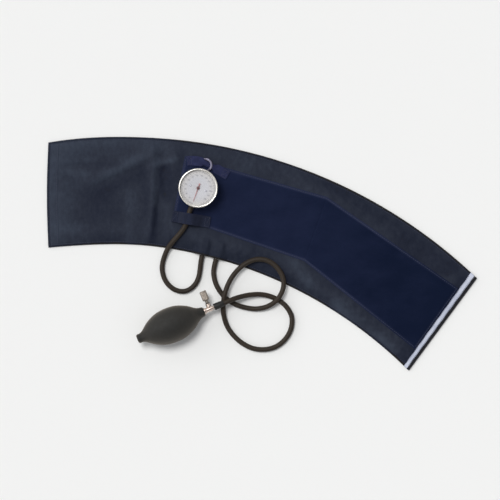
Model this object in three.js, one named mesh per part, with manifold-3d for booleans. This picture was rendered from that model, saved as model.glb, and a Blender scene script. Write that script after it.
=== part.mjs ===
// Aneroid sphygmomanometer lying flat, in millimetres. Z is up and z = 0 is the table.
// X runs along the cuff, Y across it, and the origin lies under the middle of the cuff.
import * as THREE from 'three';
import { mergeVertices } from 'three/addons/utils/BufferGeometryUtils.js';
import Module from 'manifold-3d';

const wasm = await Module();
wasm.setup();

// Clearance between pieces that touch
const GAP = 0.3;

// Cuff outline seen from above: straight free end, then two long arcs
const FREE_END_X = -292.5;
const SEAM_X = -144.5;
const FREE_END_TOP_Y = 97.9;
const FREE_END_BOTTOM_Y = -43.9;
const FREE_END_BOW = 2.0;
const FREE_TOP_SWELL = 8.5;
const FREE_BOTTOM_SWELL = 4.0;
const TOP_ARC_RADIUS = 684.5;
const TOP_ARC_START = [SEAM_X, 103.75];
const TOP_ARC_END = [286.3, -85.4];
const BOTTOM_ARC_RADIUS = 588.2;
const BOTTOM_ARC_START = [SEAM_X, -42.95];
const BOTTOM_ARC_END = [193.8, -210.1];

// Cuff layers
const SHELL_WALL = 1.0;
const TAIL_CROWN = 1.5;
const END_CROWN = 1.5;
const EDGE_RAMP = 18;
const POCKET_RAMP = 22;
const POCKET_FADE = 95;
const HEM_WIDTH = 3.6;
const HEM_HEIGHT = 2.9;
const HEM_NOSE = 0.7;
const STRIPE_WIDTH = 6.0;
const STRIPE_THICKNESS = 0.5;
const PILE_THICKNESS = 1.2;
const PILE_SAG = 0.1;
const HOOK_PANEL_THICKNESS = 0.8;
const HOOK_PANEL_MARGIN = 10;
const HOOK_PANEL_SIDE_MARGIN = 15.7;

// Bladder and its ports
const BLADDER_THICKNESS = 4.1;
const BLADDER_EDGE_THICKNESS = 1.0;
const BLADDER_LEFT_X = -138;
const BLADDER_END_SHARE = 0.689;
const BLADDER_EDGE_INSET = 12;
const PORT_X = [-84.9, -65.9];
const PORT_LENGTH = 15;
const PORT_TENT_REACH = 18;
const PORT_TENT_FLAT = 4;
const PORT_TENT_FOOT = 15;

// Loop panel corners, seen from above
const PILE_TOP_LEFT = [-108.0, 79.6];
const PILE_TOP_KINK = [83.7, 24.3];
const PILE_TOP_RIGHT = [261.5, -99.4];
const PILE_BOTTOM_RIGHT = [202.5, -181.4];
const PILE_BOTTOM_KINK = [52.7, -62.1];
const PILE_BOTTOM_LEFT = [-124.2, -1.4];

// Webbing straps
const STRAP_THICKNESS = 1.2;
const STRAP_SEWN_LENGTH = 8;
const UPPER_STRAP_WIDTH = 13.0;
const UPPER_STRAP_BUNCHED_WIDTH = 7.0;
const STRAP_BUNCH_AT = 31;
const STRAP_BUNCH_HALF = 6.5;
const STRAP_BUNCH_FADE = 5;
const LOWER_STRAP_WIDTH = 15.5;
const LOWER_STRAP_LEFT = [-125.6, -1.6];
const LOWER_STRAP_RIGHT = [-74.0, -10.0];
const LOWER_STRAP_CROSSING = 0.41;
const LOWER_STRAP_TUBE_Z = 15.2;

// Tubes
const TUBE_DIAMETER = 6.7;
const TUBE_SIDES = 10;
const TUBE_STEP = 14;

// Gauge
const GAUGE_CENTRE = [-90.3, 36.4];
const GAUGE_TURN = -20;
const CASE_WALL = 1.2;
const CASE_BACK = 1.3;
const CASE_CORNER = 2.5;
const CASE_HEIGHT = 25.9;
const BEZEL_RADIUS = 26.75;
const BEZEL_OVERHANG = 3.75;
const BEZEL_LIP_WIDTH = 2.35;
const BEZEL_WALL = 1.15;
const BEZEL_SKIRT = 4.4;
const BEZEL_LIP_HEIGHT = 1.1;
const BEZEL_ROUNDING = 1.4;
const DIAL_THICKNESS = 0.6;
const GASKET_HEIGHT = 1.7;
const GASKET_WIDTH = 0.8;
const LENS_THICKNESS = 1.8;
const LENS_DOME = 0.7;
const POINTER_LENGTH = 19.5;
const POINTER_TAIL = 6.5;
const POINTER_WIDTH = 1.5;
const POINTER_THICKNESS = 0.4;
const POINTER_HUB_RADIUS = 2.2;
const POINTER_LIFT = 1.2;
const DIAL_SCREW_ORBIT = 11;
const ARBOR_RADIUS = 0.6;

// Movement. The shares are of the height that the plates and clearances leave free in the case.
const PLATE_CLEARANCE = 1.0;
const PLATE_THICKNESS = 0.8;
const PLATE_SCREW_ROOM = 1.1;
const PILLAR_INSET = 2.3;
const PILLAR_RADIUS = 1.4;
const PILLAR_ANGLES = [60, 200, 320];
const SCREW_SHANK_RADIUS = 0.7;
const SCREW_HEAD_RADIUS = 1.5;
const SCREW_HEAD_HEIGHT = 0.6;
const GEAR_MODULE = 0.35;
const GEAR_ADDENDUM = 0.25;
const GEAR_DEDENDUM = 0.5;
const TOOTH_ROOT_WIDTH = 0.5;
const TOOTH_TIP_WIDTH = 0.24;
const PINION_TEETH = 8;
const SECTOR_RATIO = 10;
const SECTOR_ANGLE = -30;
const SECTOR_TEETH_BEFORE = 9;
const SECTOR_TEETH_AFTER = 2;
const SECTOR_THICKNESS = 1.0;
const SECTOR_HUB_RADIUS = 1.5;
const SECTOR_NECK_TURN = 60;
const SECTOR_TAIL_REACH = 2.2;
const TAIL_HALF_WIDTH = 0.6;
const TAIL_THICKNESS = 0.6;
const PINION_HEIGHT = 2.4;
const PINION_LIFT = 0.5;
const HAIRSPRING_TURNS = 4.5;
const HAIRSPRING_INNER = 2.1;
const HAIRSPRING_PITCH = 0.95;
const HAIRSPRING_BAND = 0.3;
const HAIRSPRING_HEIGHT = 0.7;
const CAPSULE_CLEARANCE = 2.1;
const CAPSULE_SHARE = 0.148;
const CAPSULE_WALL = 0.4;
const CAPSULE_NECK_RADIUS = 3.0;
const CAPSULE_WAVES = 2;
const PUSH_PIN_RADIUS = 0.9;
const PUSH_PIN_SHARE = 0.1035;
const ROCKER_Y = 5.0;
const ROCKER_RADIUS = 0.7;
const ROCKER_ARM_THICKNESS = 0.8;
const ROCKER_DROP_SHARE = 0.1575;
const ROCKER_SWING = 1.5;
const ROCKER_OVERHANG = 2.6;
const EAR_WIDTH = 1.1;
const EAR_REACH = 1.6;

// Pressure inlet of the gauge
const STEM_SHARE = 0.53;
const STEM_BORE = 1.1;
const STEM_SHANK_RADIUS = 2.1;
const STEM_SHANK_DEPTH = 6;
const STEM_FLANGE_RADIUS = 3.5;
const STEM_FLANGE_LENGTH = 2.2;
const BARB_RADIUS = 2.1;
const BARB_RIDGE = 0.6;
const STEM_BARB_LENGTH = 4.6;
const BLOCK_WIDTH = 7.0;
const BLOCK_SHARE = 0.335;

// Hook that hangs the gauge on its strap. Shank and rivets are given by X and the inset from the rim.
const HOOK_WIDTH = 2.8;
const HOOK_THICKNESS = 1.0;
const HOOK_CURL_CENTRE = [-1.35, 32.5];
const HOOK_CURL_RADIUS = 8.1;
const HOOK_SHANK = [[1.0, 12.5], [2.0, 7.5], [3.0, 3.0]];
const HOOK_SHANK_END = [3.9, 23.6, 0.1];
const HOOK_RIVETS = [[1.5, 10.0], [2.5, 5.0]];
const RIVET_RADIUS = 0.8;
const RIVET_HEAD_RADIUS = 1.7;

// Bulb, with distances along its axis from the rear end
const BULB_REAR = [-172.1, -167.8];
const BULB_TURN = 22.8;
const BULB_TILT = 3.8;
const BULB_OUTLINE = [
  [0, 5.4], [7.5, 6.8], [20, 15.8], [34, 22.0], [49, 23.9], [64, 22.2], [78, 16.2], [90, 7.9], [97.5, 6.1],
];
const BULB_WALL = 2.6;
const NECK_BORE = 3.7;

// Valves of the bulb
const VALVE_BORE = 1.4;
const VALVE_RADIUS = 3.4;
const VALVE_FLANGE_RADIUS = 4.6;
const VALVE_FLANGE_LENGTH = 1.6;
const VALVE_BODY_LENGTH = 10.5;
const SCREW_PLACE = 0.64;
const VALVE_BARB_LENGTH = 8;
const SPIGOT_LENGTH = 11;
const SCREW_STEM_RADIUS = 1.7;
const SCREW_BOSS_RADIUS = 3.3;
const SCREW_BOSS_REACH = 7.4;
const KNOB_RADIUS = 4.6;
const KNOB_LENGTH = 13.5;
const KNOB_NECK_RADIUS = 2.3;
const KNOB_NECK_LENGTH = 3.5;
const KNOB_FLUTES = 16;
const KNOB_SHOULDER = 0.9;
const FLUTE_DEPTH = 0.5;
const O_RING_THICKNESS = 0.9;
const CHECK_DISC_TRAVEL = 0.6;
const CHECK_DISC_THICKNESS = 0.8;
const CHAMBER_STEP = 1.1;
const RETAINER_LENGTH = 1.6;
const SCREW_TIP_CLEARANCE = 1.0;
const INTAKE_BALL_RADIUS = 1.9;
const INTAKE_BALL_TRAVEL = 0.8;
const INTAKE_RECESS = 1.2;
const INTAKE_SEAT_LENGTH = 1.6;
const INTAKE_RIM = 0.5;
const SCREEN_HOLE_RADIUS = 0.3;
const SCREEN_HOLE_ORBIT = 1.4;
const SCREEN_HOLES = 6;
const SLEEVE_RADIUS = 4.6;
const SLEEVE_LENGTH = 14;
const SLEEVE_LIP = 0.5;

const degrees = THREE.MathUtils.degToRad;
const { lerp, smoothstep, clamp } = THREE.MathUtils;

// Materials
function finish(color, roughness, metalness) {
  return new THREE.MeshStandardMaterial({ color, roughness, metalness });
}

const nylon = finish('#2f323e', 0.75, 0);
const pile = finish('#1a1f36', 0.95, 0);
const webbing = finish('#33384f', 0.85, 0);
const tape = finish('#cdd2e1', 0.6, 0);
const rubber = finish('#373735', 0.55, 0);
const tubing = finish('#3e342c', 0.5, 0);
const chrome = finish('#d8d6d2', 0.2, 1);
const nickel = finish('#cdbeb4', 0.3, 1);
const steel = finish('#9b9187', 0.35, 1);
const brass = finish('#b89a5a', 0.35, 1);
const dialPaint = finish('#d0cecf', 0.5, 0);
const pointerPaint = finish('#4a2a22', 0.5, 0);
const glass = finish('#e8ecee', 0.05, 0);

const part = new THREE.Group();

function add(group, name, geometry, material) {
  const mesh = new THREE.Mesh(closed(geometry), material);
  mesh.name = name;
  group.add(mesh);
  return mesh;
}

// Shared vertices are merged, slivers of no area go, and the faces are turned outwards.
function closed(geometry) {
  const bare = new THREE.BufferGeometry();
  bare.setAttribute('position', geometry.getAttribute('position').clone());
  if (geometry.index) {
    bare.setIndex(geometry.index.clone());
  }
  const merged = mergeVertices(bare, 1e-4);
  const source = merged.index.array;
  const at = (index) => new THREE.Vector3().fromBufferAttribute(merged.getAttribute('position'), index);
  const faces = [];
  let volume = 0;
  for (let i = 0; i < source.length; i += 3) {
    const [a, b, c] = source.slice(i, i + 3);
    if (a !== b && b !== c && c !== a) {
      faces.push(a, b, c);
      volume += at(a).dot(at(b).cross(at(c)));
    }
  }
  if (volume < 0) {
    faces.reverse();
  }
  merged.setIndex(faces);
  return merged;
}

function solidOf(geometry) {
  const ready = closed(geometry);
  const mesh = new wasm.Mesh({
    numProp: 3,
    vertProperties: new Float32Array(ready.getAttribute('position').array),
    triVerts: new Uint32Array(ready.index.array),
  });
  return new wasm.Manifold(mesh);
}

function geometryOf(solid) {
  const mesh = solid.getMesh();
  const geometry = new THREE.BufferGeometry();
  geometry.setAttribute('position', new THREE.BufferAttribute(new Float32Array(mesh.vertProperties), 3));
  geometry.setIndex(new THREE.BufferAttribute(new Uint32Array(mesh.triVerts), 1));
  return geometry;
}

function joined(first, ...others) {
  return geometryOf(others.reduce((solid, other) => solid.add(solidOf(other)), solidOf(first)));
}

function cut(first, ...tools) {
  return geometryOf(tools.reduce((solid, tool) => solid.subtract(solidOf(tool)), solidOf(first)));
}

// A profile of [radius, height] points turned about Z
function turned(profile, segments = 32) {
  const points = profile.map(([radius, height]) => new THREE.Vector2(radius, height));
  return new THREE.LatheGeometry(points, segments).rotateX(Math.PI / 2);
}

// A cylinder that stands on z = low
function rod(radius, low, high, segments = 20) {
  return new THREE.CylinderGeometry(radius, radius, high - low, segments)
    .rotateX(Math.PI / 2)
    .translate(0, 0, (low + high) / 2);
}

function block(lowX, highX, lowY, highY, lowZ, highZ) {
  return new THREE.BoxGeometry(highX - lowX, highY - lowY, highZ - lowZ)
    .translate((lowX + highX) / 2, (lowY + highY) / 2, (lowZ + highZ) / 2);
}

function circle(radius, centre = [0, 0], sides = 24) {
  const points = [];
  for (let i = 0; i < sides; i++) {
    const angle = 2 * Math.PI * i / sides;
    const point = new THREE.Vector2(Math.cos(angle), Math.sin(angle));
    points.push(point.multiplyScalar(radius).add(new THREE.Vector2(...centre)));
  }
  return points;
}

// A flat plate with an outline and round holes, its underside at z
function plate(outline, holes, z, thickness) {
  const shape = new THREE.Shape(outline);
  shape.holes = holes.map((hole) => new THREE.Path(hole));
  return new THREE.ExtrudeGeometry(shape, { depth: thickness, bevelEnabled: false }).translate(0, 0, z);
}

// A closed skin over rings of points that all have the same order and count
function lofted(rings) {
  const size = rings[0].length;
  const positions = rings.flat().flatMap((point) => point.toArray());
  const faces = [];
  for (let i = 0; i + 1 < rings.length; i++) {
    for (let j = 0; j < size; j++) {
      const a = i * size + j;
      const b = i * size + (j + 1) % size;
      faces.push(a, b, b + size, a, b + size, a + size);
    }
  }
  const last = (rings.length - 1) * size;
  for (let j = 1; j + 1 < size; j++) {
    faces.push(0, j + 1, j, last, last + j, last + j + 1);
  }
  const geometry = new THREE.BufferGeometry();
  geometry.setAttribute('position', new THREE.Float32BufferAttribute(positions, 3));
  geometry.setIndex(faces);
  return geometry;
}

// A flat band carried along a curve. It lies level across its way, and widthAt gives its width on the way.
function band(curve, steps, widthAt, thickness) {
  const rings = [];
  for (let i = 0; i <= steps; i++) {
    const t = i / steps;
    const centre = curve.getPointAt(t);
    const along = curve.getTangentAt(t);
    const side = new THREE.Vector3(-along.y, along.x, 0).normalize();
    const up = along.clone().cross(side);
    const half = widthAt(t) / 2;
    rings.push([[-half, 0], [half, 0], [half, thickness], [-half, thickness]].map(
      ([across, height]) => centre.clone().addScaledVector(side, across).addScaledVector(up, height)));
  }
  return lofted(rings);
}

// Cuff. A station s runs from -1 at the free end through 0 at the seam to 1 at the far end,
// and v from 0 on the lower edge to 1 on the upper edge.

// The arc from one point to another, bulging upwards, with its angles measured clockwise from +Y
function arcBetween(from, to, radius) {
  const start = new THREE.Vector2(...from);
  const chord = new THREE.Vector2(...to).sub(start);
  const down = new THREE.Vector2(chord.y, -chord.x).normalize();
  const drop = Math.sqrt(radius ** 2 - chord.lengthSq() / 4);
  const centre = start.clone().addScaledVector(chord, 0.5).addScaledVector(down, drop);
  const angleOf = ([x, y]) => Math.atan2(x - centre.x, y - centre.y);
  return { centre, radius, start: angleOf(from), end: angleOf(to) };
}

const topArc = arcBetween(TOP_ARC_START, TOP_ARC_END, TOP_ARC_RADIUS);
const bottomArc = arcBetween(BOTTOM_ARC_START, BOTTOM_ARC_END, BOTTOM_ARC_RADIUS);

function onArc({ centre, radius }, angle) {
  return new THREE.Vector2(centre.x + radius * Math.sin(angle), centre.y + radius * Math.cos(angle));
}

// The free end's edge meets its arc along the arc's tangent, with a slight swell on the way.
function freeEdge(startY, swell, arc) {
  const end = onArc(arc, arc.start);
  const reach = (SEAM_X - FREE_END_X) / 3;
  const start = new THREE.Vector2(FREE_END_X, startY);
  const first = new THREE.Vector2(FREE_END_X + reach, startY + swell);
  const second = new THREE.Vector2(end.x - reach * Math.cos(arc.start), end.y + reach * Math.sin(arc.start));
  return new THREE.CubicBezierCurve(start, first, second, end);
}

const topFreeEdge = freeEdge(FREE_END_TOP_Y, FREE_TOP_SWELL, topArc);
const bottomFreeEdge = freeEdge(FREE_END_BOTTOM_Y, FREE_BOTTOM_SWELL, bottomArc);

function edgePoint(s, freeCurve, arc) {
  return s < 0 ? freeCurve.getPoint(s + 1) : onArc(arc, lerp(arc.start, arc.end, s));
}

const topPoint = (s) => edgePoint(s, topFreeEdge, topArc);
const bottomPoint = (s) => edgePoint(s, bottomFreeEdge, bottomArc);

function cuffPoint(s, v) {
  const point = bottomPoint(s).lerp(topPoint(s), v);
  const bow = s < 0 ? FREE_END_BOW * -s * Math.sin(Math.PI * v) : 0;
  return [point.x - bow, point.y];
}

const cuffWidth = (s) => topPoint(s).distanceTo(bottomPoint(s));
const freeLength = SEAM_X - FREE_END_X;
const arcLength = (TOP_ARC_RADIUS * (topArc.end - topArc.start)
  + BOTTOM_ARC_RADIUS * (bottomArc.end - bottomArc.start)) / 2;
const alongFromSeam = (s) => s < 0 ? s * freeLength : s * arcLength;
const distanceToLongEdge = (s, v) => Math.min(v, 1 - v) * cuffWidth(s);
const shellEnd = 1 - (HEM_WIDTH + GAP) / arcLength;
const bladderStart = (BLADDER_LEFT_X - SEAM_X) / arcLength;
const portAngles = PORT_X.map((x) => Math.asin((x - bottomArc.centre.x) / BOTTOM_ARC_RADIUS));
const portStations = portAngles.map((angle) => (angle - bottomArc.start) / (bottomArc.end - bottomArc.start));

// Creases that the folded cuff keeps, as rows of from X, from Y, to X, to Y, height and half width
const CREASES = [
  [-236, 46, -168, 76, 2.4, 9.0],
  [-277, 72, -232, 75, 0.9, 7.0],
  [-274, 58, -244, 59, 0.8, 6.0],
  [-150, 86, -153, -38, 2.6, 7.0],
  [-142, 68, -122, 76, 1.8, 6.0],
  [38, -84, 54, -94, 1.6, 6.0],
  [76, -106, 90, -116, 1.4, 6.0],
  [238, -63, 262, -80, 1.5, 6.0],
];

function creaseLift(x, y) {
  let lift = 0;
  for (const [fromX, fromY, toX, toY, height, width] of CREASES) {
    const start = new THREE.Vector2(fromX, fromY);
    const along = new THREE.Vector2(toX, toY).sub(start);
    const length = along.length();
    const offset = new THREE.Vector2(x, y).sub(start);
    const run = offset.dot(along) / length;
    const aside = Math.abs(offset.cross(along)) / length;
    const beyond = Math.max(0, -run, run - length);
    lift += height * Math.exp(-((aside / width) ** 2)) * Math.exp(-((beyond / (1.5 * width)) ** 2));
  }
  return lift;
}

// Rise of the cloth over the two rubber ports, where they leave through the lower seam
function portLift(x, y) {
  const fromCentre = new THREE.Vector2(x, y).sub(bottomArc.centre);
  const angle = Math.atan2(fromCentre.x, fromCentre.y);
  const inward = fromCentre.length() - BOTTOM_ARC_RADIUS;
  const reach = 1 - smoothstep(inward, PORT_TENT_REACH, PORT_TENT_REACH + EDGE_RAMP);
  const tents = portAngles.map((port) => {
    const aside = Math.abs(angle - port) * BOTTOM_ARC_RADIUS;
    return clamp((PORT_TENT_FOOT - aside) / (PORT_TENT_FOOT - PORT_TENT_FLAT), 0, 1);
  });
  return (TUBE_DIAMETER + 2 * GAP) * reach * Math.max(...tents);
}

// Height of the hollow between the two shells, and the room that the bladder takes in it
function bladderRoom(s, v) {
  const rise = smoothstep(alongFromSeam(s), 0, POCKET_RAMP);
  const end = BLADDER_END_SHARE * arcLength;
  const fall = 1 - smoothstep(alongFromSeam(s), end, end + POCKET_FADE);
  const border = smoothstep(distanceToLongEdge(s, v), 0, EDGE_RAMP);
  return (BLADDER_THICKNESS + 2 * GAP) * rise * fall * border;
}

function shellHollow(s, v) {
  const [x, y] = cuffPoint(s, v);
  const fromFreeEnd = alongFromSeam(s) + freeLength;
  const fromFarEnd = arcLength - alongFromSeam(s);
  const crown = lerp(TAIL_CROWN, END_CROWN, smoothstep(s, 0, 1));
  const border = smoothstep(distanceToLongEdge(s, v), 0, EDGE_RAMP)
    * smoothstep(fromFreeEnd, 0, EDGE_RAMP) * smoothstep(fromFarEnd, 0, EDGE_RAMP);
  return GAP + Math.max(bladderRoom(s, v), border * crown, portLift(x, y)) + border * creaseLift(x, y);
}

// The inner shell rises over the hook panel, which lies between it and the table.
function innerShellUnder(s, v) {
  const fromFreeEnd = alongFromSeam(s) + freeLength;
  const inside = smoothstep(distanceToLongEdge(s, v), 0, HOOK_PANEL_MARGIN)
    * smoothstep(fromFreeEnd, HOOK_PANEL_MARGIN, 2 * HOOK_PANEL_MARGIN)
    * smoothstep(-alongFromSeam(s), 0, HOOK_PANEL_MARGIN);
  return (HOOK_PANEL_THICKNESS + GAP) * inside;
}

// The station and the share of the width at a point seen from above
function stationAt(x, y) {
  const point = new THREE.Vector2(x, y);
  let low = -1;
  let high = 1;
  for (let i = 0; i < 24; i++) {
    const middle = (low + high) / 2;
    const bottom = bottomPoint(middle);
    const across = topPoint(middle).sub(bottom);
    if (across.cross(point.clone().sub(bottom)) > 0) {
      high = middle;
    } else {
      low = middle;
    }
  }
  const bottom = bottomPoint(low);
  const across = topPoint(low).sub(bottom);
  return [low, point.sub(bottom).dot(across) / across.lengthSq()];
}

const innerShellOver = (s, v) => innerShellUnder(s, v) + SHELL_WALL;
const outerShellUnder = (s, v) => innerShellOver(s, v) + shellHollow(s, v);
const outerShellOver = (s, v) => outerShellUnder(s, v) + SHELL_WALL;
const pocketTop = 2 * SHELL_WALL + 3 * GAP + BLADDER_THICKNESS;
const pileUnder = pocketTop + GAP + PILE_SAG;
const pileTop = pileUnder + PILE_THICKNESS;

function evenly(from, to, count) {
  return Array.from({ length: count + 1 }, (_, i) => lerp(from, to, i / count));
}

const FREE_STATIONS = 14;
const ARC_STATIONS = 33;
const stations = [
  ...evenly(-1, 0, FREE_STATIONS).slice(0, -1),
  ...[...evenly(0, shellEnd, ARC_STATIONS), ...portStations].sort((a, b) => a - b),
];
const ACROSS = [0, 0.05, 0.11, 0.2, 0.32, 0.44, 0.56, 0.68, 0.8, 0.89, 0.95, 1];
const ACROSS_FLAT = [0, 0.05, 0.11, 0.89, 0.95, 1];

// A closed slab over a grid of stations, between two heights
function slab(along, across, place, under, over) {
  const rings = [];
  for (const s of along) {
    const upper = across.map((v) => new THREE.Vector3(...place(s, v), over(s, v)));
    const lower = across.map((v) => new THREE.Vector3(...place(s, v), under(s, v)));
    rings.push([upper, lower]);
  }
  const rows = along.length;
  const columns = across.length;
  const layers = [0, 1].flatMap((layer) => rings.map((ring) => ring[layer]));
  const positions = layers.flat().flatMap((point) => point.toArray());
  const at = (layer, i, j) => (layer * rows + i) * columns + j;
  const faces = [];
  const quad = (a, b, c, d) => faces.push(a, b, c, a, c, d);
  for (let i = 0; i + 1 < rows; i++) {
    for (let j = 0; j + 1 < columns; j++) {
      quad(at(0, i, j), at(0, i + 1, j), at(0, i + 1, j + 1), at(0, i, j + 1));
      quad(at(1, i, j), at(1, i, j + 1), at(1, i + 1, j + 1), at(1, i + 1, j));
    }
    quad(at(1, i, 0), at(1, i + 1, 0), at(0, i + 1, 0), at(0, i, 0));
    const j = columns - 1;
    quad(at(1, i + 1, j), at(1, i, j), at(0, i, j), at(0, i + 1, j));
  }
  for (let j = 0; j + 1 < columns; j++) {
    quad(at(1, 0, j + 1), at(1, 0, j), at(0, 0, j), at(0, 0, j + 1));
    const i = rows - 1;
    quad(at(1, i, j), at(1, i, j + 1), at(0, i, j + 1), at(0, i, j));
  }
  const geometry = new THREE.BufferGeometry();
  geometry.setAttribute('position', new THREE.Float32BufferAttribute(positions, 3));
  geometry.setIndex(faces);
  return geometry;
}

function buildShells() {
  add(part, 'cuff_outer_shell', slab(stations, ACROSS, cuffPoint, outerShellUnder, outerShellOver), nylon);
  const lining = slab(stations, ACROSS_FLAT, cuffPoint, innerShellUnder, innerShellOver);
  add(part, 'cuff_inner_shell', lining, nylon);
}

// The hook panel fills the flat part of the rise in the inner shell.
function buildHookPanel() {
  const first = -1 + 2 * HOOK_PANEL_MARGIN / freeLength;
  const last = -HOOK_PANEL_MARGIN / freeLength;
  const margin = HOOK_PANEL_SIDE_MARGIN / cuffWidth(-0.5);
  const geometry = slab(evenly(first, last, 6), evenly(margin, 1 - margin, 3), cuffPoint,
    () => 0, () => HOOK_PANEL_THICKNESS);
  add(part, 'hook_panel', geometry, pile);
}

function buildEnd() {
  const hem = slab([shellEnd + GAP / arcLength, 1 - HEM_NOSE / arcLength, 1], evenly(0, 1, 2), cuffPoint,
    (s) => s === 1 ? HEM_NOSE : 0, (s) => s === 1 ? HEM_HEIGHT - HEM_NOSE : HEM_HEIGHT);
  add(part, 'end_hem', hem, nylon);

  const stripeEnd = shellEnd - GAP / arcLength;
  const stripeStart = stripeEnd - STRIPE_WIDTH / arcLength;
  const over = (s, v) => outerShellOver(s, v) + GAP + PILE_SAG;
  const stripe = slab([stripeStart, stripeEnd], ACROSS, cuffPoint, over,
    (s, v) => over(s, v) + STRIPE_THICKNESS);
  add(part, 'index_stripe', stripe, tape);
}

// The loop panel is two strips with a mitre between them, and it follows the shell that it is sewn to.
function pilePoint(s, v) {
  const between = (left, kink, right) => {
    const [from, to, share] = s < 0 ? [left, kink, s + 1] : [kink, right, s];
    return new THREE.Vector2(...from).lerp(new THREE.Vector2(...to), share);
  };
  const bottom = between(PILE_BOTTOM_LEFT, PILE_BOTTOM_KINK, PILE_BOTTOM_RIGHT);
  const top = between(PILE_TOP_LEFT, PILE_TOP_KINK, PILE_TOP_RIGHT);
  return bottom.lerp(top, v).toArray();
}

function buildLoopPanel() {
  const under = (s, v) => outerShellOver(...stationAt(...pilePoint(s, v))) + GAP + PILE_SAG;
  const geometry = slab(evenly(-1, 1, 34), evenly(0, 1, 5), pilePoint, under,
    (s, v) => under(s, v) + PILE_THICKNESS);
  add(part, 'loop_panel', geometry, pile);
}

function portDirection(angle) {
  return new THREE.Vector3(Math.sin(angle), Math.cos(angle), 0);
}

const portAxisZ = SHELL_WALL + GAP + TUBE_DIAMETER / 2;

function buildBladder() {
  const inset = BLADDER_EDGE_INSET / cuffWidth(0.4);
  const inside = stations.filter((s) => s > bladderStart && s < BLADDER_END_SHARE);
  const along = [bladderStart, ...inside.filter((_, i) => i % 2 === 1), BLADDER_END_SHARE];
  const across = [inset, ...ACROSS.filter((v) => v > inset && v < 1 - inset), 1 - inset];
  const under = SHELL_WALL + GAP;
  const over = (s, v) => under + Math.max(BLADDER_EDGE_THICKNESS, bladderRoom(s, v) - 2 * GAP);
  const bag = slab(along, across, cuffPoint, () => under, over);
  const ports = portAngles.map((angle) => {
    const edge = onArc(bottomArc, angle);
    const middle = portDirection(angle).multiplyScalar(PORT_LENGTH / 2);
    return new THREE.CylinderGeometry(TUBE_DIAMETER / 2, TUBE_DIAMETER / 2, PORT_LENGTH, TUBE_SIDES)
      .rotateZ(-angle)
      .translate(edge.x + middle.x, edge.y + middle.y, portAxisZ);
  });
  add(part, 'bladder', joined(bag, ...ports), rubber);
}

// The upper strap's centre points seen from above, each with its share of the rise over the hook's tip
const UPPER_STRAP_ROUTE = [
  [-105.3, 72.9, 0], [-99.0, 73.3, 0.1], [-93.0, 73.0, 0.9], [-87.5, 72.0, 1], [-82.0, 70.4, 1],
  [-77.0, 68.2, 0.5], [-69.0, 64.2, 0.2], [-58.5, 58.4, 0], [-50.0, 53.3, 0],
];
const STRAP_SHARE_AT_CURL = 0.45;
const strapLift = HOOK_THICKNESS + 2 * GAP;

// A strap is a band of webbing whose ends are sewn down flat.
function buildStraps() {
  const ground = pileTop + GAP;
  const upperCurve = new THREE.CatmullRomCurve3(
    UPPER_STRAP_ROUTE.map(([x, y, share]) => new THREE.Vector3(x, y, ground + strapLift * share)));
  const upperLength = upperCurve.getLength();
  const upperWidth = (t) => {
    const aside = Math.abs(t * upperLength - STRAP_BUNCH_AT);
    const spread = smoothstep(aside, STRAP_BUNCH_HALF, STRAP_BUNCH_HALF + STRAP_BUNCH_FADE);
    return lerp(UPPER_STRAP_BUNCHED_WIDTH, UPPER_STRAP_WIDTH, spread);
  };
  add(part, 'gauge_strap_upper', band(upperCurve, 30, upperWidth, STRAP_THICKNESS), webbing);

  const from = new THREE.Vector3(...LOWER_STRAP_LEFT, ground);
  const to = new THREE.Vector3(...LOWER_STRAP_RIGHT, ground);
  const length = from.distanceTo(to);
  const rise = LOWER_STRAP_TUBE_Z + TUBE_DIAMETER / 2 + GAP - ground;
  const lowerPoints = evenly(0, 1, 10).map((t) => {
    const aside = Math.abs(t - LOWER_STRAP_CROSSING) * length;
    const side = t < LOWER_STRAP_CROSSING ? LOWER_STRAP_CROSSING : 1 - LOWER_STRAP_CROSSING;
    const foot = side * length - STRAP_SEWN_LENGTH;
    const point = from.clone().lerp(to, t);
    point.z += rise * (1 - smoothstep(aside, TUBE_DIAMETER / 2, foot));
    return point;
  });
  const lowerCurve = new THREE.CatmullRomCurve3(lowerPoints);
  add(part, 'gauge_strap_lower', band(lowerCurve, 24, () => LOWER_STRAP_WIDTH, STRAP_THICKNESS), webbing);
}

// Gauge, in its own frame: the case's back at z = 0 and twelve o'clock along +Y
const gauge = new THREE.Group();
gauge.position.set(...GAUGE_CENTRE, pileTop + HOOK_THICKNESS + 2 * GAP);
gauge.rotation.z = degrees(GAUGE_TURN);
part.add(gauge);

const caseRadius = BEZEL_RADIUS - BEZEL_OVERHANG;
const caseBore = caseRadius - CASE_WALL;
const lipRadius = BEZEL_RADIUS - BEZEL_LIP_WIDTH;
const plateRadius = caseBore - PLATE_CLEARANCE;
const pillarOrbit = plateRadius - PILLAR_INSET;
const capsuleRadius = pillarOrbit - PILLAR_RADIUS - CAPSULE_CLEARANCE;
const blockUnder = CASE_BACK + GAP;
const upperPlateZ = CASE_HEIGHT - PLATE_SCREW_ROOM - PLATE_THICKNESS;
const freeHeight = upperPlateZ - PLATE_THICKNESS - ROCKER_ARM_THICKNESS / 2 - 3 * GAP - blockUnder;
const blockHeight = BLOCK_SHARE * freeHeight;
const capsuleHeight = CAPSULE_SHARE * freeHeight;
const pinHeight = PUSH_PIN_SHARE * freeHeight;
const blockTop = blockUnder + blockHeight;
const stemZ = blockUnder + STEM_SHARE * blockHeight;
const capsuleUnder = blockTop + GAP;
const pinUnder = capsuleUnder + capsuleHeight + GAP;
const rockerZ = pinUnder + pinHeight + GAP + ROCKER_ARM_THICKNESS / 2;
const lowerPlateZ = rockerZ + ROCKER_DROP_SHARE * freeHeight;
const movementFloor = lowerPlateZ + PLATE_THICKNESS;
const pinionRadius = GEAR_MODULE * PINION_TEETH / 2;
const sectorRadius = pinionRadius * SECTOR_RATIO;
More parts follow.
